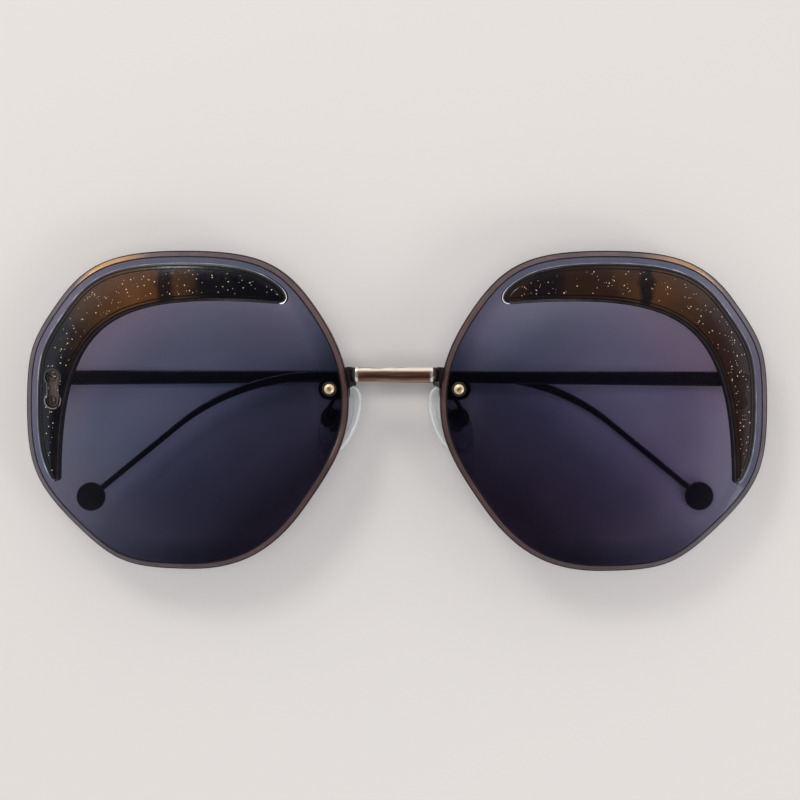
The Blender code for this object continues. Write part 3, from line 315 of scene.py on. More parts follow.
# Curves
def conic(start, corner, end, pull, share):
    near = (1 - share) ** 2
    middle = 2 * share * (1 - share) * pull
    far = share**2
    return (near * start + middle * corner + far * end) / (near + middle + far)


def outline_point(place_share):
    count = len(LENS_CORNERS)
    index = int(place_share) % count
    corners = [Vector(LENS_CORNERS[(index + step) % count][:2]) * HALF for step in (-1, 0, 1)]
    corner = corners[1]
    start = (corners[0] + corner) / 2
    end = (corner + corners[2]) / 2
    return conic(start, corner, end, LENS_CORNERS[index][2], place_share - int(place_share))


def inset(points, depth, closed=True):
    """The points of a clockwise outline, each moved inwards by the depth."""
    moved = []
    last = len(points) - 1
    for index, point in enumerate(points):
        before = points[index - 1] if closed or index else point
        after = points[(index + 1) % len(points)] if closed or index < last else point
        along = (after - before).normalized()
        moved.append(point + Vector((along.y, -along.x)) * depth)
    return moved


def evenly(points, steps):
    lengths = [0.0]
    for first, second in zip(points, points[1:]):
        lengths.append(lengths[-1] + (second - first).length)
    spaced = []
    index = 1
    for step in range(steps + 1):
        wanted = lengths[-1] * step / steps
        while lengths[index] < wanted and index < len(points) - 1:
            index += 1
        share = (wanted - lengths[index - 1]) / (lengths[index] - lengths[index - 1])
        spaced.append(points[index - 1].lerp(points[index], share))
    return spaced


def lens_outline():
    steps = len(LENS_CORNERS) * LENS_STEPS
    return [outline_point(step / LENS_STEPS) for step in range(steps)]


def tip_points(edge, other):
    start = edge[-1]
    end = other[-1]
    ahead = start - edge[-2]
    beside = end - other[-2]
    gap = end - start
    reach = (gap.x * beside.y - gap.y * beside.x) / (ahead.x * beside.y - ahead.y * beside.x)
    corner = start + ahead * reach
    bulge = gap.length / 2 / (corner - (start + end) / 2).length
    count = 2 * INLAY_TIP_STEPS + 2
    pull = bulge / (1 - bulge)
    return [conic(start, corner, end, pull, step / count) for step in range(1, count)]


def inlay_outline():
    """A clockwise closed outline that starts at its nasal tip; its lower tip is half way round."""
    first, last = INLAY_SPAN
    fine = INLAY_STEPS * 4
    edge = [outline_point(first + (last - first) * step / fine) for step in range(fine + 1)]
    outer = evenly(inset(edge, INLAY_MARGIN, closed=False), INLAY_STEPS)
    nasal, corner, lower = [Vector(share) * HALF for share in INLAY_INNER]
    curve = [conic(lower, corner, nasal, INLAY_INNER_PULL, step / fine) for step in range(fine + 1)]
    inner = evenly(curve, INLAY_STEPS)
    lower_tip = tip_points(outer, inner[::-1])
    nasal_tip = tip_points(inner, outer[::-1])
    return nasal_tip[INLAY_TIP_STEPS:] + outer + lower_tip + inner + nasal_tip[:INLAY_TIP_STEPS]


def fall(radius, point):
    return radius - math.sqrt(radius**2 - point[0] ** 2 - point[1] ** 2)


def rear_height(point):
    return -fall(LENS_CURVE_RADIUS, point)


def front_height(point):
    return LENS_THICKNESS - fall(LENS_CURVE_RADIUS + LENS_THICKNESS, point)


def raised(points, height, extra=0.0):
    return [Vector((*point, height(point) + extra)) for point in points]


# Places
def lens_frame():
    tilt = Matrix.Rotation(LENS_WRAP_ANGLE, 4, "Y")
    seat = tilt @ Vector((ENDPIECE_U, ENDPIECE_RISE, rear_height((ENDPIECE_U, ENDPIECE_RISE))))
    apex = HINGE_AXIS_Z + ENDPIECE_DEPTH - seat.z
    return Matrix.Translation((LENS_CENTRE_X, 0, apex)) @ tilt


def seat_frame(u, v):
    point = Vector((u, v, rear_height((u, v))))
    outward = point + UP * LENS_CURVE_RADIUS
    lean = UP.rotation_difference(outward).to_matrix().to_4x4()
    return lens_frame() @ Matrix.Translation(point) @ lean


def hole_frame():
    return seat_frame(HOLE_U, BRIDGE_HOLE_RISE)


def endpiece_frame():
    return seat_frame(ENDPIECE_U, ENDPIECE_RISE)


def hinge_place():
    return Vector((endpiece_frame().translation.x + HINGE_OUTSET, HINGE_RISE, HINGE_AXIS_Z))


def temple_straight():
    return 2 * hinge_place().x - EAR_BEND_INSET


def nest_angle():
    spread = TEMPLE_WIDTH + temple_straight() * math.sin(TEMPLE_RISE_ANGLE)
    crossing = EAR_BEND_INSET - math.sqrt(2 * EAR_BEND_RADIUS * spread)
    return math.atan((TEMPLE_THICKNESS + TEMPLE_NEST_GAP) / crossing)


def pad_frame():
    middle = Vector((PAD_CENTRE_X, -PAD_DROP, hole_frame().translation.z - PAD_DEPTH))
    flare = Matrix.Rotation(PAD_FLARE_ANGLE, 4, "Z")
    return Matrix.Translation(middle) @ flare @ Matrix.Rotation(PAD_SPLAY_ANGLE, 4, "Y")


def pad_pivot_height():
    return PAD_THICKNESS / 2 + PAD_ROCK_GAP + BOX_RIM


def arc(centre, radius, start, end, steps):
    angles = [start + (end - start) * step / steps for step in range(steps + 1)]
    return [(centre[0] + radius * math.cos(a), centre[1] + radius * math.sin(a)) for a in angles]


def circle(radius, sides):
    return arc((0, 0), radius, 0, math.tau, sides)[:-1]


def boss_outline(extra):
    radius = BOSS_RADIUS + extra
    turn = math.acos((BOSS_NECK / 2 + extra) / radius)
    upper = arc((0, BOSS_SPACING / 2), radius, -turn, math.pi + turn, ROUND_SIDES // 2)
    lower = arc((0, -BOSS_SPACING / 2), radius, math.pi - turn, math.tau + turn, ROUND_SIDES // 2)
    return upper + lower


# Mesh tools
def mesh_of(shape, name, matrix=Matrix()):
    bmesh.ops.transform(shape, matrix=matrix, verts=shape.verts)
    bmesh.ops.recalc_face_normals(shape, faces=shape.faces)
    mesh = bpy.data.meshes.new(name)
    shape.to_mesh(mesh)
    shape.free()
    return mesh


def band(shape, lower, upper, finish=0):
    count = len(lower)
    faces = []
    for index in range(count):
        after = (index + 1) % count
        face = shape.faces.new((lower[index], lower[after], upper[after], upper[index]))
        face.material_index = finish
        faces.append(face)
    return faces


def add_face(shape, *corners):
    """A face through the corners, less the ones that repeat, where three or more are left."""
    corners = list(dict.fromkeys(corners))
    if len(corners) > 2:
        shape.faces.new(corners)


def ring_shape(rings, finishes=None):
    """A bmesh through rings of equal counts; each band takes its finish by index."""
    shape = bmesh.new()
    knots = [[shape.verts.new(point) for point in ring] for ring in rings]
    for level, (lower, upper) in enumerate(zip(knots, knots[1:])):
        band(shape, lower, upper, finishes[level] if finishes else 0)
    return shape, knots


def loft(rings, name, matrix=Matrix()):
    """A solid through the rings, closed by a face at each end."""
    shape, knots = ring_shape(rings)
    for ring in (knots[0], knots[-1]):
        shape.faces.new(ring)
    return mesh_of(shape, name, matrix)


def turned(profile, name, matrix=Matrix(), sides=ROUND_SIDES):
    """A solid turned round Z from (radius, height) points, closed or from axis to axis."""
    shape = bmesh.new()
    rings = []
    for radius, height in profile:
        spots = circle(radius, sides) if radius else [(0, 0)]
        rings.append([shape.verts.new((*spot, height)) for spot in spots])
    for first, second in zip(rings, rings[1:]):
        for index in range(sides):
            after = (index + 1) % sides
            near = [first[index % len(first)], first[after % len(first)]]
            far = [second[after % len(second)], second[index % len(second)]]
            add_face(shape, *near, *far)
    bmesh.ops.remove_doubles(shape, verts=shape.verts, dist=1e-8)
    return mesh_of(shape, name, matrix)


def softened(profile, width):
    """The (radius, height) profile with its corners off the axis rounded in three steps."""
    soft = [profile[0]]
    for index in range(1, len(profile) - 1):
        here = Vector(profile[index])
        back = Vector(profile[index - 1]) - here
        ahead = Vector(profile[index + 1]) - here
        reach = min(width, back.length / 2, ahead.length / 2)
        start = here + back.normalized() * reach
        end = here + ahead.normalized() * reach
        soft += [tuple(conic(start, here, end, 1.0, step / 3)) for step in range(4)]
    return soft + [profile[-1]]


def prism(points, low, high, name, matrix=Matrix()):
    return loft([[(x, y, height) for x, y in points] for height in (low, high)], name, matrix)


def add_object(name, data):
    made = bpy.data.objects.new(name, data)
    bpy.context.scene.collection.objects.link(made)
    return made


def cut(mesh, cutters):
    """The mesh less the cutters, which are meshes in the same frame."""
    holder = add_object("cut", mesh)
    tools = []
    for cutter in cutters:
        tool = add_object("cutter", cutter)
        tools.append(tool)
        step = holder.modifiers.new("cut", "BOOLEAN")
        step.operation = "DIFFERENCE"
        step.solver = "EXACT"
        step.object = tool
    graph = bpy.context.evaluated_depsgraph_get()
    made = bpy.data.meshes.new_from_object(holder.evaluated_get(graph))
    for item in [holder, *tools]:
        bpy.data.objects.remove(item, do_unlink=True)
    return made


def carved(mesh, cutters, finish=0):
    """The mesh less the cutters, with room for two finishes; cut faces take one by index."""
    for part in (mesh, *cutters):
        for _ in range(2):
            part.materials.append(None)
    for cutter in cutters:
        cutter.polygons.foreach_set("material_index", [finish] * len(cutter.polygons))
    return cut(mesh, cutters)


def mirrored(mesh):
    twin = mesh.copy()
    twin.transform(MIRROR_X)
    twin.flip_normals()
    return twin


def ball_normals(mesh, balls):
    """Faces that lie on one of the balls, given as centre and radius, are shaded as that ball."""
    knots = [vertex.co.copy() for vertex in mesh.vertices]
    normals = [Vector((0, 0, 0))] * len(mesh.loops)
    for face in mesh.polygons:
        for centre, radius in balls:
            if all(abs((knots[v] - centre).length - radius) < 2e-6 for v in face.vertices):
                for loop in face.loop_indices:
                    spoke = (knots[mesh.loops[loop].vertex_index] - centre).normalized()
                    normals[loop] = spoke if spoke.dot(face.normal) > 0 else -spoke
                break
    mesh.normals_split_custom_set(normals)


def add_piece(name, mesh, body, finishes, nodes=(), balls=(), sharp=SHARP_ANGLE):
    mesh.shade_smooth()
    mesh.set_sharp_from_angle(angle=sharp)
    if balls:
        ball_normals(mesh, balls)
    for index, surface in enumerate(finishes):
        if index < len(mesh.materials):
            mesh.materials[index] = surface
        else:
            mesh.materials.append(surface)
    piece = add_object(name, mesh)
    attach(piece, body)
    if nodes:
        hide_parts(*nodes)
    return piece


def add_pair(name, mesh, body, finishes, packed=True, radii=()):
    """The right-hand piece and its mirror image; a body name with SIDE in it takes the side.

    The radii are of the balls round the lens's own centre that the piece's faces lie on.
    """
    centre = lens_frame() @ Vector((0, 0, -LENS_CURVE_RADIUS))
    twins = (("left", mirrored(mesh), MIRROR_X @ centre), ("right", mesh, centre))
    for side, shape, middle in twins:
        nodes = [f"{name}_{side}"] if packed else []
        balls = [(middle, radius) for radius in radii]
        carrier = body.replace("SIDE", side)
        add_piece(f"smooth_{name}_{side}", shape, carrier, finishes, nodes, balls)


def dress(name, body, slot, finishes, width, seat=None, trim=None):
    """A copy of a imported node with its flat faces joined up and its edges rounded.

    Faces below the seat, where one is given, take the second finish. So do the rounded edges of
    a copy with a trim, a mesh that is taken off it first.
    """
    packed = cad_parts[name].data
    shape = bmesh.new()
    shape.from_mesh(cut(packed.copy(), [trim]) if trim else packed)
    bmesh.ops.remove_doubles(shape, verts=shape.verts, dist=1e-7)
    flat = math.radians(1.0)
    bmesh.ops.dissolve_limit(shape, angle_limit=flat, verts=shape.verts, edges=shape.edges)
    edges = [e for e in shape.edges if len(e.link_faces) == 2 and e.calc_face_angle() > SHARP_ANGLE]
    rounding = {"offset": width, "offset_type": "OFFSET", "segments": 2, "profile": 0.5}
    made = bmesh.ops.bevel(shape, geom=edges, affect="EDGES", clamp_overlap=True, **rounding)
    # The rounded edges of a trimmed copy take the second finish; on the lugs it is a painted highlight
    for face in made["faces"] if trim else []:
        face.material_index = 1
    if seat:
        below = seat.inverted()
        for face in shape.faces:
            face.material_index = int((below @ face.calc_center_median()).z <= -SEAT_GAP / 2)
    mesh = mesh_of(shape, name)
    piece = add_piece(f"smooth_{name}", mesh, body, finishes, [name], sharp=math.radians(50))
    piece.modifiers.new("weighted", "WEIGHTED_NORMAL").keep_sharp = True


# Lens and inlay
def inside(point, ring):
    crossed = False
    for first, second in zip(ring, ring[1:] + ring[:1]):
        if (first[1] > point[1]) != (second[1] > point[1]):
            at = first[0] + (point[1] - first[1]) / (second[1] - first[1]) * (second[0] - first[0])
            if point[0] < at:
                crossed = not crossed
    return crossed


def hole_ring():
    radius = SCREW_SHANK_RADIUS + FIT_CLEARANCE + BUSHING_WALL + FIT_CLEARANCE
    return [Vector(p) for p in arc((HOLE_U, BRIDGE_HOLE_RISE), radius, math.tau, 0, 32)[:-1]]


def lens_pane(outer, holes):
    """Triangles that fill the outer ring less the holes, with a grid of points between."""

    def free(spot):
        return inside(spot, outer) and not any(inside(spot, ring) for ring in holes)

    knots = []
    edges = []
    for ring in (outer, *holes):
        base = len(knots)
        knots += ring
        edges += [(base + i, base + (i + 1) % len(ring)) for i in range(len(ring))]
    borders = list(knots)
    for row in range(int(LENS_HEIGHT / LENS_GRID) + 1):
        for column in range(int(LENS_WIDTH / LENS_GRID) + 1):
            shift = LENS_GRID / 2 if row % 2 else 0
            spot = Vector((column * LENS_GRID + shift, row * LENS_GRID)) - HALF
            if free(spot) and min((spot - p).length for p in borders) > LENS_GRID * LENS_GRID_MARGIN:
                knots.append(spot)
    made = geometry.delaunay_2d_cdt(knots, edges, [], 0, 1e-9)
    faces = [face for face in made[2] if free(sum((made[0][i] for i in face), Vector((0, 0))) / 3)]
    return made[0], faces, made[3]


def climb(shape, ring, steps):
    """Bands from a ring of knots through the steps: outline, height, extra height and finish."""
    for points, height, extra, finish in steps:
        above = [shape.verts.new(point) for point in raised(points, height, extra)]
        band(shape, ring, above, finish)
        ring = above
    return ring


def lens_shape():
    edge = lens_outline()
    facet = inset(edge, LENS_FACET_WIDTH)
    line = inset(facet, LENS_LINE_INSET)
    slot = inset(inlay_outline(), -SEAM_WIDTH - SLOT_CHAMFER)
    holes = [slot, hole_ring()]
    flat, faces, sources = lens_pane(line, holes)
    shape = bmesh.new()
    ends = [[shape.verts.new((*p, height(p))) for p in flat] for height in (rear_height, front_height)]
    for end in ends:
        for face in faces:
            shape.faces.new([end[i] for i in face])
    place_of = {item: index for index, source in enumerate(sources) for item in source}
    narrow = inset(inlay_outline(), -SEAM_WIDTH)
    wall = [
        (narrow, rear_height, SLOT_CHAMFER / 4, DARK_LINE),
        (narrow, front_height, -SLOT_CHAMFER / 2, DARK_LINE),
    ]
    base = len(line)
    for ring, steps in zip(holes, (wall, [])):
        low, high = [[end[place_of[base + index]] for index in range(len(ring))] for end in ends]
        faces = band(shape, climb(shape, low, steps), high, DARK_LINE)
        # The outer half of the slot's edge and its nasal tip take the bright edge finish and the rest
        # the dark line: a painted lit side and painted shade
        if steps:
            for face in faces[: len(faces) // 2] + faces[-INLAY_TIP_STEPS:]:
                face.material_index = SLOT_EDGE
        base += len(ring)
    line_depth = LENS_FACET_WIDTH - LENS_LINE_WIDTH
    side = [
        (inset(edge, LENS_CHAMFER * 2), rear_height, 0, TINT),
        (edge, rear_height, LENS_CHAMFER, FACET),
        (edge, front_height, -LENS_FACET_DEPTH - LENS_RIM_WIDTH, FACET),
        (inset(edge, LENS_RIM_WIDTH), front_height, -LENS_FACET_DEPTH, DARK_LINE),
        (inset(edge, line_depth), front_height, -LENS_FACET_DEPTH * LENS_FACET_TOP_SHARE, FACET),
        (facet, front_height, -LENS_CHAMFER / 4, DARK_LINE),
    ]
    low, high = [[end[place_of[index]] for index in range(len(line))] for end in ends]
    band(shape, climb(shape, low, side), high, DARK_LINE)
    return mesh_of(shape, "lens", lens_frame())


def inlay_top():
    """Rows of points across the top of the inlay, from its outer edge to its inner one."""
    top = inset(inlay_outline(), INLAY_BEVEL_WIDTH)
    count = len(top)
    rows = []
    for index in range(count // 2 + 1):
        first = top[index]
        second = top[(count - index) % count]
        row = []
        width = (second - first).length
        for step in range(INLAY_ACROSS + 1):
            share = step / INLAY_ACROSS
            spot = first.lerp(second, share)
            crown = INLAY_CROWN * (1 - (2 * share - 1) ** 2) * min(1, width / BOSS_SPACING)
            row.append(Vector((*spot, front_height(spot) + INLAY_PROUD + crown)))
        rows.append(row)
    return rows


def inlay_shape():
    outline = inlay_outline()
    small = LENS_CHAMFER / 2
    rings = [
        raised(inset(outline, small), rear_height, 0),
        raised(outline, rear_height, small),
        raised(outline, front_height, INLAY_PROUD - INLAY_BEVEL_DEPTH - small),
        raised(inset(outline, small), front_height, INLAY_PROUD - INLAY_BEVEL_DEPTH + small / 2),
    ]
    start = Vector((small, INLAY_PROUD - INLAY_BEVEL_DEPTH + small / 2))
    end = Vector((INLAY_BEVEL_WIDTH - small, INLAY_PROUD - 2 * small))
    for share in (INLAY_LINE_SHARE, 1 - INLAY_LINE_SHARE, 1.0):
        depth, extra = start.lerp(end, share)
        rings.append(raised(inset(outline, depth), front_height, extra))
    rings.append(raised(inset(outline, INLAY_BEVEL_WIDTH), front_height, INLAY_PROUD))
    shape, knots = ring_shape(rings, INLAY_BANDS)
    count = len(outline)
    low = knots[0]
    for index in range(count // 2):
        other = low[count - index - 1], low[(count - index) % count]
        add_face(shape, low[index], low[index + 1], *other)
    rows = inlay_top()
    made = []
    for index, row in enumerate(rows):
        first = knots[-1][index]
        second = knots[-1][(count - index) % count]
        if first is second:
            made.append([first] * len(row))
        else:
            made.append([first, *[shape.verts.new(p) for p in row[1:-1]], second])
    for before, after in zip(made, made[1:]):
        for step in range(INLAY_ACROSS):
            add_face(shape, before[step], before[step + 1], after[step + 1], after[step])
    seat = endpiece_frame()
    recess = boss_outline(FIT_CLEARANCE)
    cutters = [prism(recess, -CUT_REACH, BOSS_HEIGHT + SEAT_GAP, "recess", seat)]
    _, head_radius, head_height = BOSS_SCREW
    reach = BOSS_HEIGHT + 2 * SEAT_GAP + head_height
    for side in (1, -1):
        ring = arc((0, side * BOSS_SPACING / 2), head_radius + FIT_CLEARANCE, 0, math.tau, 32)
        cutters.append(prism(ring[:-1], 0, reach, "pocket", seat))
    return carved(mesh_of(shape, "inlay", lens_frame()), cutters)


def gap_shade_shape():
    """A thin dark strip in the gap between the inlay and the edge of its slot: painted shade of the
    gap.
    """
    near = inset(inlay_outline(), -SEAT_GAP / 5)
    far = inset(inlay_outline(), -SEAM_WIDTH + SEAT_GAP / 5)
    first = raised(near, rear_height, SEAT_GAP / 2)
    second = raised(far, rear_height, SEAT_GAP / 2)
    third = raised(far, front_height, -SEAT_GAP / 2)
    last = raised(near, front_height, -SEAT_GAP / 4)
    shape, _ = ring_shape([first, second, third, last, first])
    bmesh.ops.remove_doubles(shape, verts=shape.verts, dist=1e-8)
    return mesh_of(shape, "seam", lens_frame())


def flakes_shape(seed):
    """Flakes of glitter let into the top of the inlay."""
    rng = random.Random(seed)
    rows = inlay_top()
    shape = bmesh.new()
    centres = [rng.uniform(*FLAKE_CENTRES) for _ in range(FLAKE_CLUSTERS)]
    start, end = FLAKE_ALONG
    made = 0
    while made < FLAKES:
        scattered = rng.random() < FLAKE_LOOSE_SHARE
        share = rng.random() if scattered else rng.gauss(rng.choice(centres), FLAKE_CLUSTER_SPREAD)
        if not start < share < end:
            continue
        at = share * (len(rows) - 1)
        row = rows[int(at)]
        after = rows[min(int(at) + 1, len(rows) - 1)]
        if rng.random() > (row[0] - row[-1]).length / FLAKE_FULL_WIDTH:
            continue
        across = rng.uniform(*FLAKE_ACROSS) * INLAY_ACROSS
        step = min(int(across), INLAY_ACROSS - 1)
        near = row[step].lerp(row[step + 1], across - step)
        far = after[step].lerp(after[step + 1], across - step)
        spot = near.lerp(far, at - int(at))
        radius = rng.choice(FLAKE_RADII)
        sides = rng.choice(FLAKE_SIDES)
        turn = rng.uniform(0, math.tau)
        outward = (spot + UP * LENS_CURVE_RADIUS).normalized()
        lean = UP.rotation_difference(outward).to_matrix().to_4x4()
        tilts = [Matrix.Rotation(rng.uniform(-FLAKE_LEAN, FLAKE_LEAN), 4, axis) for axis in "XY"]
        place = Matrix.Translation(spot) @ lean @ (tilts[0] @ tilts[1])
        ring = []
        for index in range(sides):
            angle = turn + math.tau * index / sides
            squashed = rng.uniform(*FLAKE_SQUASH) * math.sin(angle)
            ring.append(Vector((math.cos(angle), squashed, 0)) * radius)
        low = [shape.verts.new(place @ (p - UP * FLAKE_DEPTH)) for p in ring]
        high = [shape.verts.new(place @ (p * FLAKE_TOP_SHARE + UP * FLAKE_PROUD)) for p in ring]
        band(shape, low, high)
        shape.faces.new(low[::-1])
        shape.faces.new(high)
        made += 1
    return mesh_of(shape, "flakes", lens_frame())


# Bridge
def bar_half_length():
    return LENS_GAP / 2 - BRIDGE_EDGE_CLEARANCE


def bar_shape():
    """The bar swept along its middle line: up one leg, across, and down the other."""
    place = hole_frame()
    half = bar_half_length()
    leg = BRIDGE_BAR_DEPTH * 2 / 3
    front = place.translation.z + LENS_THICKNESS + BRIDGE_FRONT_PROUD
    foot = (place @ Vector((half - place.translation.x, 0, 0))).z + SEAT_GAP
    bend = BRIDGE_BEND_RADIUS
    path = [(half, foot, 0.0)]
    for step in range(BRIDGE_BEND_STEPS + 1):
        turn = math.pi / 2 * step / BRIDGE_BEND_STEPS
        spot = (half - bend + bend * math.cos(turn), front - bend + bend * math.sin(turn))
        path.append((*spot, turn))
    path += [(-x, z, math.pi - turn) for x, z, turn in reversed(path)]
    rings = []
    for x, z, turn in path:
        depth = leg + (BRIDGE_BAR_DEPTH - leg) * math.sin(turn)
        spoke = Vector((math.cos(turn), 0, math.sin(turn)))
        ring = []
        for across, deep in bar_section():
            spot = Vector((x, BRIDGE_BAR_RISE + across * BRIDGE_BAR_HEIGHT / 2, z))
            ring.append(spot - spoke * depth * deep)
        rings.append(ring)
    return loft(rings, "bar")


def bar_section():
    """The bar's section: share of its half height, and share of its depth from its face."""
    face = BAR_FACE_SHARE
    section = []
    for step in range(BAR_FACE_STEPS + 1):
        across = -face + 2 * face * step / BAR_FACE_STEPS
        section.append((across, BAR_HOLLOW * (across / face) ** 2))
    lower = [(-across, deep) for across, deep in reversed(BAR_SIDE)]
    return [*section, *BAR_SIDE, (face, 1.0), (-face, 1.0), *lower]


def lug_trim():
    """What comes off the lug's heel below the bar's end, where its claw is short and slim."""
    return prism(LUG_TRIM, -LUG_TRIM_HEIGHT, LUG_TRIM_HEIGHT, "trim", hole_frame())


def screw_shape():
    place = hole_frame()
    top = LENS_THICKNESS + SEAT_GAP + BUSHING_FLANGE_THICKNESS + SEAT_GAP
    low = -SEAT_GAP - LUG_THICKNESS - SEAT_GAP - NUT_HEIGHT
    tall = SCREW_HEAD_HEIGHT - SEAT_GAP / 10
    head = [(0, top + tall)]
    for step in range(1, SCREW_CROWN_STEPS + 1):
        share = step / SCREW_CROWN_STEPS
        drop = SCREW_CROWN * share**SCREW_CROWN_POWER
        head.append((SCREW_HEAD_RADIUS * share, top + tall * (1 - drop)))
    profile = head + [
        (SCREW_HEAD_RADIUS, top + SEAT_GAP / 4),
        (SCREW_HEAD_RADIUS - SEAT_GAP / 4, top),
        (SCREW_SHANK_RADIUS, top),
        (SCREW_SHANK_RADIUS, low + SEAT_GAP),
        (SCREW_SHANK_RADIUS - SEAT_GAP, low),
        (0, low),
    ]
    lobe = SCREW_HEAD_RADIUS / 4
    floor = top + SCREW_HEAD_HEIGHT - SCREW_RECESS_DEPTH
    left = arc((-lobe, 0), lobe, math.pi / 2, math.pi * 3 / 2, 14)
    right = arc((lobe, 0), lobe, -math.pi / 2, math.pi / 2, 14)
    turn = place @ Matrix.Rotation(math.pi / 4, 4, "Z")
    recess = prism(left + right, floor, floor + RECESS_REACH, "recess", turn)
    # The recess takes the second finish, a darker gold: painted shade in the recess
    return carved(turned(profile, "screw", place), [recess], 1)


def bushing_shape():
    bore = SCREW_SHANK_RADIUS + FIT_CLEARANCE
    sleeve = bore + BUSHING_WALL
    seat = LENS_THICKNESS + SEAT_GAP
    top = seat + BUSHING_FLANGE_THICKNESS
    small = SEAT_GAP / 2
    profile = [
        (bore + small, top),
        (BUSHING_FLANGE_RADIUS - small * 2, top),
        (BUSHING_FLANGE_RADIUS - small / 2, top - small / 2),
        (BUSHING_FLANGE_RADIUS, top - small * 2),
        (BUSHING_FLANGE_RADIUS, seat + small / 2),
        (BUSHING_FLANGE_RADIUS - small / 2, seat),
        (sleeve, seat),
        (sleeve, SEAT_GAP),
        (bore, SEAT_GAP),
        (bore, top - small),
        (bore + small, top),
    ]
    return turned(profile, "bushing", hole_frame())


def small_screw(sizes, low, under, slot_turn, matrix):
    """A cheese-headed screw along Z with a straight slot in its head."""
    radius, head_radius, head_height = sizes
    top = under + head_height
    head = [(0, top), (head_radius, top), (head_radius, under)]
    profile = [*head, (radius, under), (radius, low), (0, low)]
    body = turned(softened(profile, head_height / 4), "screw", matrix)
    half = head_radius / 6
    reach = head_radius * 2
    corners = [(-reach, -half), (reach, -half), (reach, half), (-reach, half)]
    turn = matrix @ Matrix.Rotation(slot_turn, 4, "Z")
    slot = prism(corners, top - head_height / 2, top + head_height, "slot", turn)
    # The slot's faces take the second finish, a dark one: painted shade in the slot
    return carved(body, [slot], 1)


# Nose pads
def pad_ring(size, height):
    ring = []
    for x, y in circle(1, 64):
        width = PAD_WIDTH / 2 * (1 - PAD_EGG * y)
        ring.append(Vector((width * x * size, PAD_LENGTH / 2 * y * size, height)))
    return ring


def pad_shape():
    half = PAD_THICKNESS / 2
    rings = [pad_ring(size, half * level) for size, level in PAD_SECTION]
    shape, knots = ring_shape(rings, [int(index in PAD_HIGHLIGHT_BANDS) for index in range(len(rings))])
    for ring, height in ((knots[0], half), (knots[-1], -half)):
        middle = shape.verts.new((0, 0, height))
        for index, knot in enumerate(ring):
            shape.faces.new((knot, ring[(index + 1) % len(ring)], middle))
    place = pad_frame()
    wide, long = CORE_WIDTH / 2 + FIT_CLEARANCE, CORE_LENGTH / 2 + FIT_CLEARANCE
    ring = [(wide * x, long * y) for x, y in circle(1, 40)]
    pocket = prism(ring, half - CORE_THICKNESS - SEAT_GAP, half + CUT_REACH, "pocket", place)
    return carved(mesh_of(shape, "pad", place), [pocket])


def arm_shape():
    """The wire from the back of the lug to the back of the pad's box."""
    under = Vector((-PAD_ARM_INSET, -LUG_EYE_RADIUS / 2, -SEAT_GAP - LUG_THICKNESS - SEAT_GAP))
    start = hole_frame() @ under
    below = hole_frame() @ (under - UP * PAD_ARM_LEAD)
    back = pad_pivot_height() + CORE_LUG_RADIUS + FIT_CLEARANCE + BOX_WALL + SEAT_GAP
    lead = pad_frame() @ Vector((0, 0, back + PAD_ARM_LEAD))
    end = pad_frame() @ Vector((0, 0, back))
    first = start + (below - start) * 2
    second = end + (lead - end) * 2
    path = geometry.interpolate_bezier(start, first, second, end, 28)
    rings = []
    side = Vector((1, 0, 0))
    for index, point in enumerate(path):
        along = (path[min(index + 1, len(path) - 1)] - path[max(index - 1, 0)]).normalized()
        side = (side - along * side.dot(along)).normalized()
        other = along.cross(side)
        rings.append([point + (side * x + other * y) * PAD_ARM_RADIUS for x, y in circle(1, 16)])
    return loft(rings, "arm")


# Temples
def temple_stations():
    rise = TEMPLE_RISE_ANGLE
    start = Vector((math.cos(rise), math.sin(rise))) * temple_straight()
    stations = []
    for step in range(TEMPLE_STEPS):
        share = step / TEMPLE_STEPS
        width = TEMPLE_WIDTH + (TEMPLE_BEND_WIDTH - TEMPLE_WIDTH) * share
        stations.append((start * share, rise, width / 2))
    centre = start + Vector((math.sin(rise), -math.cos(rise))) * EAR_BEND_RADIUS
    for step in range(EAR_BEND_STEPS + 1):
        share = step / EAR_BEND_STEPS
        heading = rise - EAR_BEND_ANGLE * share
        point = centre + Vector((-math.sin(heading), math.cos(heading))) * EAR_BEND_RADIUS
        width = TEMPLE_BEND_WIDTH + (TEMPLE_TAIL_WIDTH - TEMPLE_BEND_WIDTH) * share
        stations.append((point, heading, width / 2))
    heading = rise - EAR_BEND_ANGLE
    along = Vector((math.cos(heading), math.sin(heading)))
    tail = stations[-1][0]
    for share in (0.25, 0.5, 0.75, 1.0):
        reach = (TEMPLE_TAIL - TIP_RADIUS + SEAT_GAP) * share
        stations.append((tail + along * reach, heading, TEMPLE_TAIL_WIDTH / 2))
    return stations


def temple_shape():
    """The band, with rounded edges all along, in the hinge's frame."""
    inner = -HINGE_BARREL_RADIUS - HINGE_STAND_OFF
    outer = inner - TEMPLE_THICKNESS
    rings = []
    for point, heading, half in temple_stations():
        across = Vector((-math.sin(heading), math.cos(heading)))
        small = min(TEMPLE_ROUND, half * 0.6)
        ring = []
        for sx, sz, start in ((1, 1, 0), (-1, 1, 90), (-1, -1, 180), (1, -1, 270)):
            middle_z = (inner if sz > 0 else outer) - sz * small
            for step in range(5):
                turn = math.radians(start + 22.5 * step)
                offset = sx * (half - small) + math.cos(turn) * small
                spot = point + across * offset
                ring.append(Vector((-spot.x, spot.y, middle_z + math.sin(turn) * small)))
        rings.append(ring)
    return loft(rings, "band")


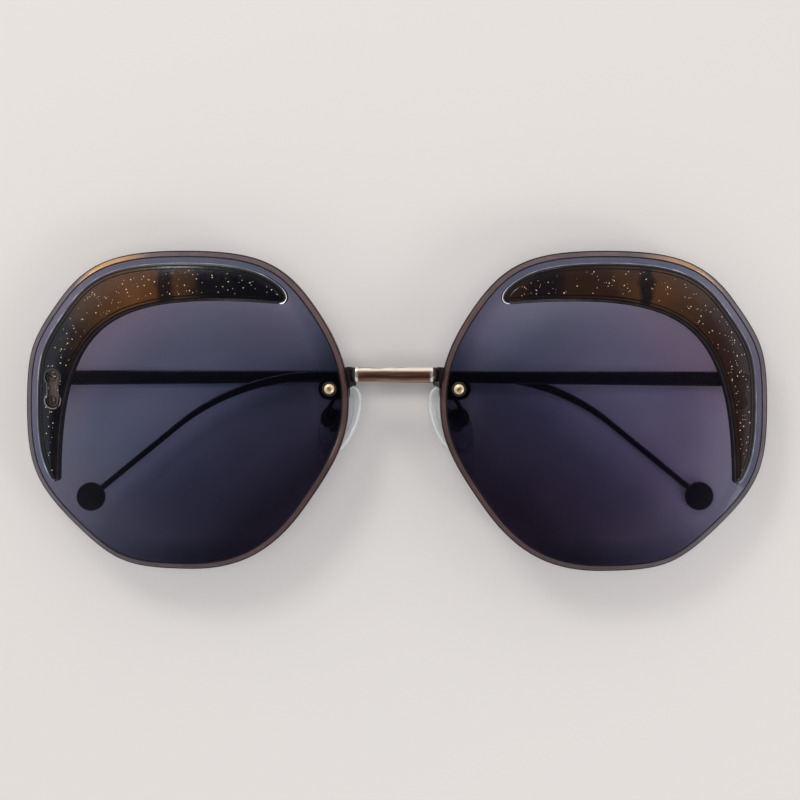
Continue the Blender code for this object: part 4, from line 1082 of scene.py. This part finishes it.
def tip_shape():
    point, heading, _ = temple_stations()[-1]
    along = Vector((math.cos(heading), math.sin(heading)))
    spot = point + along * (TIP_RADIUS - SEAT_GAP)
    low = -HINGE_BARREL_RADIUS - HINGE_STAND_OFF - TEMPLE_THICKNESS
    top = low + TIP_THICKNESS
    small = TIP_ROUND
    flat = TIP_RADIUS - small
    profile = [(0, top), (TIP_RADIUS * 0.6, top - small / 14), (flat, top - small / 6)]
    profile += arc((flat, top - small - small / 6), small, math.pi / 2, 0, 6)[1:]
    profile += arc((flat, low + small), small, 0, -math.pi / 2, 6)
    profile.append((0, low))
    return turned(profile, "tip", Matrix.Translation((-spot.x, spot.y, 0)), sides=72)


# Finishes
class Look:
    """The nodes of a material or the world. A value is a number, a colour or a node's output."""

    def __init__(self, owner, shader="Principled BSDF", space="Object"):
        owner.use_nodes = True
        self.owner = owner
        self.tree = owner.node_tree
        self.shader = self.tree.nodes[shader]
        self.place = self.node("ShaderNodeTexCoord").outputs[space]

    def feed(self, socket, value):
        if isinstance(value, bpy.types.NodeSocket):
            self.tree.links.new(value, socket)
        else:
            colour = isinstance(value, tuple) and socket.type == "RGBA"
            socket.default_value = (*value, 1.0) if colour else value

    def node(self, kind, **values):
        """A new node; each value goes to the socket of its name, or else to the setting."""
        made = self.tree.nodes.new(kind)
        for key, value in values.items():
            name = key.replace("_", " ")
            if name in made.inputs:
                self.feed(made.inputs[name], value)
            else:
                setattr(made, key, value)
        return made

    def shade(self, **values):
        """Feeds the shader's sockets, and gives the material."""
        for key, value in values.items():
            self.feed(self.shader.inputs[key.replace("_", " ")], value)
        return self.owner

    def see_through(self, share, tint):
        """Mixes the shader with a clear tinted one, by the share that is solid."""
        clear = self.node("ShaderNodeBsdfTransparent", Color=tint)
        both = self.node("ShaderNodeMixShader", Fac=share)
        self.feed(both.inputs[1], clear.outputs[0])
        self.feed(both.inputs[2], self.shader.outputs[0])
        self.feed(self.tree.nodes["Material Output"].inputs["Surface"], both.outputs[0])
        return self.owner

    def bump(self, height, strength, distance):
        made = self.node("ShaderNodeBump", Height=height, Strength=strength, Distance=distance)
        self.shade(Normal=made.outputs["Normal"])

    def noise(self, scale, detail=3.0, rough=0.55, place=None):
        made = self.node("ShaderNodeTexNoise", Scale=scale, Detail=detail, Roughness=rough)
        self.feed(made.inputs["Vector"], place or self.place)
        return made.outputs["Fac"]

    def axes(self):
        """The shaded point's X, Y and Z."""
        return self.node("ShaderNodeSeparateXYZ", Vector=self.place).outputs

    def facing(self, blend=0.5):
        return self.node("ShaderNodeLayerWeight", Blend=blend).outputs["Facing"]

    def ramp(self, source, *stops):
        made = self.node("ShaderNodeValToRGB", Fac=source)
        while len(made.color_ramp.elements) < len(stops):
            made.color_ramp.elements.new(0.5)
        for element, (place, value) in zip(made.color_ramp.elements, stops):
            element.position = place
            element.color = (*value, 1.0) if isinstance(value, tuple) else (value, value, value, 1.0)
        return made.outputs["Color"]

    def between(self, source, low, high):
        return self.ramp(source, (0.3, low), (0.7, high))

    def mix(self, share, first, second, kind="MIX"):
        made = self.node("ShaderNodeMix", data_type="RGBA", blend_type=kind)
        for index, value in ((0, share), (6, first), (7, second)):
            self.feed(made.inputs[index], value)
        return made.outputs[2]

    def calc(self, kind, *values, clamp=False):
        made = self.node("ShaderNodeMath", operation=kind, use_clamp=clamp)
        for socket, value in zip(made.inputs, values):
            self.feed(socket, value)
        return made.outputs[0]

    def plus(self, first, second):
        return self.calc("ADD", first, second, clamp=True)

    def less(self, first, second):
        return self.calc("SUBTRACT", first, second)

    def times(self, first, second):
        return self.calc("MULTIPLY", first, second)

    def scaled(self, value, factor, extra, clamp=False):
        return self.calc("MULTIPLY_ADD", value, factor, extra, clamp=clamp)

    def size(self, value):
        return self.calc("ABSOLUTE", value)

    def over(self, value, least):
        return self.calc("GREATER_THAN", value, least)

    def length(self, *sides):
        squares = [self.times(side, side) for side in sides]
        return self.calc("SQRT", self.calc("ADD", *squares))

    def distance(self, across, along, spot):
        return self.length(self.less(across, spot[0]), self.less(along, spot[1]))


def new_look(name):
    return Look(bpy.data.materials.new(name))


def metal(name, dark, light, rough, share=1.0):
    """A metal whose colour and gloss wander a little, with a fine grain."""
    look = new_look(name)
    fine = look.noise(9000.0, 2.0)
    look.bump(fine, 0.08, 0.00002)
    return look.shade(
        Base_Color=look.between(look.noise(420.0), dark, light),
        Roughness=look.ramp(fine, (0.25, rough * 0.8), (0.75, rough * 1.25)),
        Metallic=share,
    )


def plastic(name, dark, light, rough, ior=1.5):
    look = new_look(name)
    fine = look.noise(5000.0)
    look.bump(fine, 0.15, 0.00003)
    return look.shade(
        Base_Color=look.between(look.noise(600.0), dark, light),
        Roughness=look.ramp(fine, (0.25, rough * 0.85), (0.75, rough * 1.2)),
        IOR=ior,
    )


def polished_reflection_finish():
    """The bar's polished plating with painted reflection, cream along its top and red-brown with drawn
    streaks below, and at each bent end a painted highlight and then painted shade.
    """
    look = new_look("polished_gunmetal_look")
    drawn = look.node("ShaderNodeMapping", Vector=look.place, Scale=(0.09, 1.0, 0.35))
    streak = look.noise(1900.0, 2.0, 0.45, drawn.outputs[0])
    look.bump(streak, 0.10, 0.00004)
    x, y, _ = look.axes()
    up = look.scaled(y, 1 / BRIDGE_BAR_HEIGHT, 0.5 - BRIDGE_BAR_RISE / BRIDGE_BAR_HEIGHT)
    # Painted reflection: colour by height on the bar, broken up by the drawn streaks
    base = look.ramp(look.plus(up, look.scaled(streak, 0.5, -0.25)), *BAR_REFLECTION_COLOURS)
    end = look.times(look.size(x), 1 / bar_half_length())
    # Painted highlight and then painted shade towards each bent end
    for start, stop, colour in BAR_END_HIGHLIGHT_AND_SHADE:
        base = look.mix(look.ramp(end, (start, 0.0), (stop, 1.0)), base, colour)
    gloss = look.ramp(look.noise(12000.0, 2.0), (0.25, 0.05), (0.75, 0.10))
    return look.shade(Base_Color=base, Roughness=gloss, Metallic=0.78)


def lens_finish():
    """The lens's own tint with painted shade: lightest up and out, densest down and towards the nose,
    and denser again near the rim.
    """
    look = new_look("lens_tint_look")
    x, y, _ = look.axes()
    out = look.scaled(look.size(x), 1 / HALF.x, -LENS_CENTRE_X / HALF.x)
    up = look.times(y, 1 / HALF.y)
    # Painted shade: the tint grows denser down and towards the nose
    level = look.scaled(out, 0.35, look.scaled(up, 0.42, 0.5))
    level = look.plus(level, look.scaled(look.noise(45.0, 2.0), 0.12, -0.06))
    cubes = [look.calc("POWER", look.size(share), 3.0) for share in (out, up)]
    # Painted shade at the rim: the tint grows denser near the outline
    painted_rim = look.calc("POWER", look.calc("ADD", *cubes), 1 / 3)
    painted_rim = look.ramp(painted_rim, (0.80, 1.0), (0.93, (0.70, 0.745, 0.78)))
    # Painted faint coloured reflections: warm and cool blotches multiplied into the tint
    painted_reflection_tint = look.ramp(look.noise(28.0, 1.0), *LENS_REFLECTION_TINTS)
    tint = look.mix(1.0, look.ramp(level, *LENS_SHADED_TINTS), painted_rim, "MULTIPLY")
    look.shade(
        Base_Color=look.ramp(level, (0.0, (0.001, 0.001, 0.004)), (1.0, (0.006, 0.006, 0.012))),
        Roughness=look.between(look.noise(900.0, 2.0), 0.026, 0.034),
        IOR=1.7,
    )
    solid = look.scaled(look.calc("POWER", look.facing(), 5.0), 0.84, 0.16, clamp=True)
    return look.see_through(solid, look.mix(1.0, tint, painted_reflection_tint, "MULTIPLY"))


def facet_finish():
    """The polished edge of the lens: mauve, with a painted copper reflection towards the nose and a
    painted gold lamp glint at the upper outer corner.
    """
    look = new_look("lens_facet_look")
    x, y, _ = look.axes()
    side = look.size(x)
    cloud = look.noise(160.0)
    mauve = look.between(cloud, (0.105, 0.088, 0.108), (0.175, 0.147, 0.175))
    # Painted reflection: copper of warm surroundings on the facet, strongest towards the nose
    copper_reflection = look.between(cloud, (0.058, 0.021, 0.015), (0.112, 0.043, 0.030))
    nasal = look.scaled(side, -1 / COPPER_REFLECTION_REACH, 1.08, clamp=True)
    # Painted highlight: a gold lamp glint near the upper outer corner, fainter on the right
    near = look.scaled(look.distance(side, y, GLINT_PLACE), -1 / GLINT_REACH, 1.0)
    painted_glint = look.ramp(near, (0.0, 0.0), (0.35, 0.45), (0.8, 1.0))
    painted_glint = look.times(painted_glint, look.scaled(look.over(x, 0.0), -0.4, 1.0))
    fine = look.noise(2500.0, 2.0)
    look.bump(fine, 0.05, 0.00002)
    look.shade(
        Base_Color=look.mix(painted_glint, look.mix(nasal, mauve, copper_reflection), (0.66, 0.38, 0.17)),
        Roughness=look.between(fine, 0.14, 0.24),
        Metallic=0.22,
    )
    return look.see_through(0.80, (0.62, 0.55, 0.60))


def dark_line_finish():
    """The dark lines on both sides of the lens's facet."""
    look = new_look("lens_line_look")
    base = look.between(look.noise(300.0, 2.0), (0.004, 0.003, 0.004), (0.014, 0.010, 0.012))
    look.shade(Base_Color=base, Roughness=0.5, IOR=1.25)
    return look.see_through(0.94, (0.5, 0.45, 0.5))


def black_line_finish():
    """The black lines on both sides of the inlay's bevel; the outer one is painted shade of the gap
    round the inlay.
    """
    look = new_look("inlay_line_look")
    cloud = look.noise(300.0, 2.0)
    base = look.between(cloud, (0.002, 0.002, 0.003), (0.008, 0.006, 0.008))
    return look.shade(Base_Color=base, Roughness=look.between(cloud, 0.35, 0.5), IOR=1.25)


def slot_edge_finish():
    """The polished chamfer round the crescent slot, with painted glints: bright in places along it and
    white at the slot's nasal tip.
    """
    look = new_look("slot_edge_look")
    x, y, _ = look.axes()
    cloud = look.noise(240.0)
    near = look.times(look.distance(look.size(x), y, SLOT_TIP_GLINT_PLACE), 1 / SLOT_TIP_GLINT_REACH)
    tip = look.ramp(near, (0.4, 1.0), (1.0, 0.0))
    base = look.mix(tip, look.ramp(cloud, *SLOT_EDGE_GLINT_COLOURS), (0.93, 0.94, 0.98))
    return look.shade(Base_Color=base, Roughness=look.between(cloud, 0.12, 0.25), Metallic=0.35)


def acetate_colour(look, x, y, side, right):
    """Dark brown, amber at the upper outer corner, with black patches and fine gold dust."""
    glow = look.scaled(look.distance(side, y, AMBER_PLACE), -1 / AMBER_REACH, 1.0)
    glow = look.times(glow, look.scaled(right, -0.35, 1.0))
    cloud = look.scaled(look.noise(150.0, 4.0, 0.6), 0.7, -0.35)
    base = look.ramp(look.plus(glow, cloud), *ACETATE_COLOURS)
    base = look.mix(look.times(right, 0.8), base, (0.028, 0.011, 0.005), "LIGHTEN")
    drifted = look.calc("ADD", x, look.scaled(look.noise(260.0, 2.0), 0.0030, -0.0015))
    for middle, half in PATCHES:
        off = look.calc("MULTIPLY", look.size(look.less(drifted, middle)), 1 / half, clamp=True)
        patch = look.times(look.ramp(off, (0.45, 0.88), (1.0, 0.0)), look.over(y, PATCH_FLOOR))
        base = look.mix(patch, base, (0.004, 0.003, 0.005))
    dust = look.node("ShaderNodeTexVoronoi", Vector=look.place, Scale=1500.0, Randomness=1.0)
    grain = look.ramp(dust.outputs["Distance"], (0.07, 1.0), (0.16, 0.0))
    sown = look.ramp(dust.outputs["Color"], (0.76, 0.0), (0.88, 0.7))
    return look.mix(look.times(grain, sown), base, (0.36, 0.23, 0.11))


def boss_reach(look, y, z, side):
    """How far the shaded point is from the middle of the boss: about 0.5 along its outline."""
    top = endpiece_frame() @ Vector((0, 0, BOSS_HEIGHT))
    lobe = look.less(look.size(look.less(y, ENDPIECE_RISE)), BOSS_SPACING / 2)
    across = look.less(look.scaled(look.less(z, top.z), WINDOW_SHIFT, side), top.x)
    neck = look.times(look.size(across), 2 * BOSS_RADIUS / BOSS_NECK)
    neck = look.scaled(look.calc("MAXIMUM", lobe, 0.0), 4.0, neck)
    return look.times(look.calc("MINIMUM", look.length(lobe, across), neck), 0.5 / BOSS_RADIUS)


def acetate_finish():
    """Glitter acetate, clear over the boss with a painted pale highlight ring round it, strongest at
    its lower end; both faint on the right.
    """
    look = new_look("glitter_acetate_look")
    x, y, z = look.axes()
    side = look.size(x)
    right = look.over(x, 0.0)
    base = acetate_colour(look, x, y, side, right)
    reach = boss_reach(look, y, z, side)
    closed = look.ramp(look.facing(), (0.15, 0.0), (0.42, 0.95))
    # Painted highlight: a pale ring along the boss's outline, strongest at its lower lobe
    ring = look.ramp(reach, (0.52, 0.0), (0.57, 1.0), (0.62, 1.0), (0.67, 0.0))
    ring = look.times(ring, look.scaled(right, -0.85, 0.9))
    ring = look.times(ring, look.less(1.0, closed))
    low = look.scaled(y, -0.5 / BOSS_SPACING, 0.5 + ENDPIECE_RISE / (2 * BOSS_SPACING))
    ring = look.times(ring, look.ramp(low, (0.2, 0.25), (0.75, 1.0)))
    look.shade(
        Base_Color=look.mix(ring, base, (0.20, 0.185, 0.20)),
        Roughness=look.between(look.noise(1400.0, 2.0), 0.08, 0.18),
        Specular_Tint=(0.76, 0.84, 1.0),
    )
    solid = look.ramp(reach, (0.49, 0.16), (0.58, 0.95))
    for least in (look.times(right, 0.62), closed):
        solid = look.calc("MAXIMUM", solid, least)
    return look.see_through(solid, (0.93, 0.90, 0.88))


def flake_finish():
    look = new_look("glitter_look")
    chance = look.node("ShaderNodeNewGeometry").outputs["Random Per Island"]
    gloss = look.ramp(chance, (0.0, 0.2), (1.0, 0.45))
    return look.shade(Base_Color=look.ramp(chance, *FLAKE_COLOURS), Roughness=gloss, Metallic=0.1)


def silicone_finish(name, body):
    """Clear silicone: nearly nothing face on, milkier where it turns away, and brighter there still as
    a painted rim highlight.
    """
    look = new_look(name)
    cloud = look.noise(300.0)
    fine = look.noise(2200.0, 2.0)
    look.bump(fine, 0.05, 0.00003)
    look.shade(
        Base_Color=look.between(cloud, (0.84, 0.88, 0.90), (0.95, 0.97, 0.98)),
        Roughness=look.between(fine, 0.06, 0.14),
        IOR=2.2,
    )
    # Painted rim highlight: more solid and whiter where the surface turns away
    painted_rim = look.plus(look.facing(0.35), look.scaled(cloud, 0.25, -0.125))
    solid = look.ramp(painted_rim, (0.0, body), (0.35, body + 0.06), (0.60, 0.60), (1.0, 0.9))
    return look.see_through(solid, (0.96, 0.98, 0.985))


def floor_finish():
    look = new_look("pale_floor_look")
    base = look.between(look.noise(3.0, 2.0), tuple(c * 0.985 for c in PALE), PALE)
    return look.shade(Base_Color=base, Roughness=0.8, Specular_IOR_Level=0.1)


# Pieces
def add_screws(pin, gunmetal):
    boss = endpiece_frame()
    upper, lower = [boss @ Matrix.Translation((0, y * BOSS_SPACING / 2, 0)) for y in (1, -1)]
    hinge = Matrix.Translation(hinge_place()) @ Matrix.Rotation(-math.pi / 2, 4, "X")
    pivot = pad_frame() @ Matrix.Translation((0, 0, pad_pivot_height()))
    pad = pivot @ Matrix.Rotation(math.pi / 2, 4, "Y")
    half = HINGE_BARREL_HEIGHT / 2
    # Name, sizes, low end, seat, the slot's turn and place
    screws = (
        ("endpiece_screw_upper", BOSS_SCREW, -BOSS_SCREW_DEPTH, BOSS_HEIGHT, 0.4, upper),
        ("endpiece_screw_lower", BOSS_SCREW, -BOSS_SCREW_DEPTH, BOSS_HEIGHT, 1.3, lower),
        ("hinge_screw", HINGE_SCREW, -half, half, 0.7, hinge),
        ("pad_screw", PAD_SCREW, -BOX_RADIUS, BOX_RADIUS, 0.5, pad),
    )
    for name, sizes, low, seat, slot_turn, place in screws:
        mesh = small_screw(sizes, low, seat + SEAT_GAP, slot_turn, place)
        # The slots take the dark gunmetal: painted shade in them
        add_pair(name, mesh, "front", [pin, gunmetal])


def add_dressed(gunmetal, boss, edge_highlight, core):
    for side in ("left", "right"):
        left = side == "left"
        trim = mirrored(lug_trim()) if left else lug_trim()
        seat = MIRROR_X @ endpiece_frame() @ MIRROR_X if left else endpiece_frame()
        front = ("front", "dark_gunmetal")
        dress(f"bridge_lug_{side}", *front, [gunmetal, edge_highlight], LUG_EDGE, trim=trim)
        dress(f"bridge_nut_{side}", *front, [gunmetal], NUT_EDGE)
        dress(f"pad_box_{side}", *front, [gunmetal], PAD_BOX_EDGE)
        dress(f"pad_core_{side}", f"{side}_pad", "pad_core", [core], PAD_CORE_EDGE)
        dress(f"endpiece_{side}", *front, [boss, gunmetal], ENDPIECE_EDGE, seat=seat)
        temple = (f"{side}_temple", "dark_gunmetal")
        dress(f"temple_hinge_{side}", *temple, [gunmetal], HINGE_EDGE)


def add_temples(gunmetal, black):
    hinge = Matrix.Translation(hinge_place())
    lean = hinge @ Matrix.Rotation(nest_angle(), 4, "Y")
    shapes = (
        ("temple", temple_shape(), "dark_gunmetal", gunmetal),
        ("temple_tip", tip_shape(), "black_tip", black),
    )
    for side in ("left", "right"):
        for name, shape, slot, surface in shapes:
            mesh = shape.copy()
            mesh.transform(hinge if side == "left" else lean)
            mesh = mirrored(mesh) if side == "left" else mesh
            packed = f"{name}_{side}"
            add_piece(f"smooth_{packed}", mesh, f"{side}_temple", [surface], [packed])


def add_pieces():
    gunmetal = metal("dark_gunmetal_look", (0.10, 0.085, 0.085), (0.17, 0.15, 0.15), 0.26)
    boss = metal("endpiece_gunmetal_look", (0.60, 0.50, 0.52), (0.80, 0.69, 0.71), 0.42, 0.40)
    pin = metal("small_screw_look", (0.48, 0.43, 0.39), (0.64, 0.58, 0.53), 0.36, 0.5)
    # Painted highlight: light metal on the lugs' rounded edges
    edge_highlight = metal("painted_edge_highlight_look", (0.56, 0.48, 0.44), (0.82, 0.73, 0.67), 0.25, 0.5)
    gold = metal("pale_gold_look", (0.74, 0.54, 0.34), (0.88, 0.69, 0.47), 0.34, 0.85)
    # Painted shade in the bridge screws' recesses
    recess_shade = metal("pale_gold_painted_recess_shade_look", (0.30, 0.19, 0.11), (0.46, 0.31, 0.19), 0.45, 0.7)
    rubber = plastic("dark_bushing_look", (0.012, 0.010, 0.012), (0.028, 0.022, 0.026), 0.30)
    core = plastic("pad_core_look", (0.50, 0.52, 0.55), (0.66, 0.68, 0.70), 0.30)
    black = plastic("black_tip_look", (0.004, 0.004, 0.006), (0.011, 0.011, 0.014), 0.30, ior=1.3)
    clear = silicone_finish("clear_silicone_look", 0.16)
    # Whiter, more solid silicone on the pads' ridge bands: painted highlight lines
    ridge_highlight = silicone_finish("clear_silicone_painted_highlight_look", 0.62)
    acetate = [acetate_finish(), black_line_finish()]
    glass = [lens_finish(), facet_finish(), dark_line_finish(), slot_edge_finish()]
    radii = (LENS_CURVE_RADIUS, LENS_CURVE_RADIUS + LENS_THICKNESS)
    add_pair("lens", lens_shape(), "front", glass, radii=radii)
    add_pair("inlay", inlay_shape(), "front", acetate)
    # A dark strip in the gap round each inlay: painted shade
    add_pair("inlay_gap_shade", gap_shade_shape(), "front", [rubber], packed=False)
    sparkle = flake_finish()
    for side, seed in FLAKE_SEEDS:
        mesh = flakes_shape(seed)
        mesh = mirrored(mesh) if side == "left" else mesh
        add_piece(f"glitter_flakes_{side}", mesh, "front", [sparkle])
    polished = [polished_reflection_finish()]
    add_piece("smooth_bridge_bar", bar_shape(), "front", polished, ["bridge_bar"])
    add_pair("bridge_screw", screw_shape(), "front", [gold, recess_shade])
    add_pair("bridge_bushing", bushing_shape(), "front", [rubber])
    add_pair("pad_arm", arm_shape(), "front", [gunmetal])
    add_pair("nose_pad", pad_shape(), "SIDE_pad", [clear, ridge_highlight])
    add_screws(pin, gunmetal)
    add_dressed(gunmetal, boss, edge_highlight, core)
    add_temples(gunmetal, black)


# Floor, light and camera
def add_stage():
    shape = bmesh.new()
    bmesh.ops.create_grid(shape, x_segments=8, y_segments=8, size=FLOOR_SIZE)
    bmesh.ops.translate(shape, verts=shape.verts, vec=(0, 0, FLOOR_Z))
    mesh = bpy.data.meshes.new("floor")
    shape.to_mesh(mesh)
    shape.free()
    mesh.materials.append(floor_finish())
    floor = add_object("floor", mesh)


def add_lamp(name, place, size, power, colour):
    data = bpy.data.lights.new(name, "AREA")
    data.shape = "RECTANGLE"
    data.size, data.size_y = size
    data.energy = power
    data.color = colour
    lamp = add_object(name, data)
    lamp.location = place
    lamp.rotation_euler = (LAMP_TARGET - Vector(place)).to_track_quat("-Z", "Y").to_euler()
    lamp.visible_glossy = name != "overhead"


def add_world():
    """A dome that is dim straight above and bright lower down, most of all beyond the top."""
    world = bpy.data.worlds.new("dome")
    bpy.context.scene.world = world
    look = Look(world, "Background", "Generated")
    _, y, z = look.axes()
    look.shade(Color=look.ramp(z, *DOME_COLOURS), Strength=look.scaled(y, 0.35, 1.0))


def add_camera():
    data = bpy.data.cameras.new("camera")
    data.sensor_width = SENSOR_WIDTH
    data.lens = CAMERA_FOCUS_PIXELS / PHOTO_PIXELS * SENSOR_WIDTH
    data.clip_start = 0.01
    data.clip_end = 20.0
    camera = add_object("camera", data)
    camera.location = CAMERA_PLACE
    camera.rotation_euler = [math.radians(turn) for turn in CAMERA_TURNS]
    bpy.context.scene.camera = camera


add_pieces()
add_stage()
add_world()
for lamp in LAMPS:
    add_lamp(*lamp)
add_camera()
bpy.context.scene.view_settings.view_transform = "Standard"
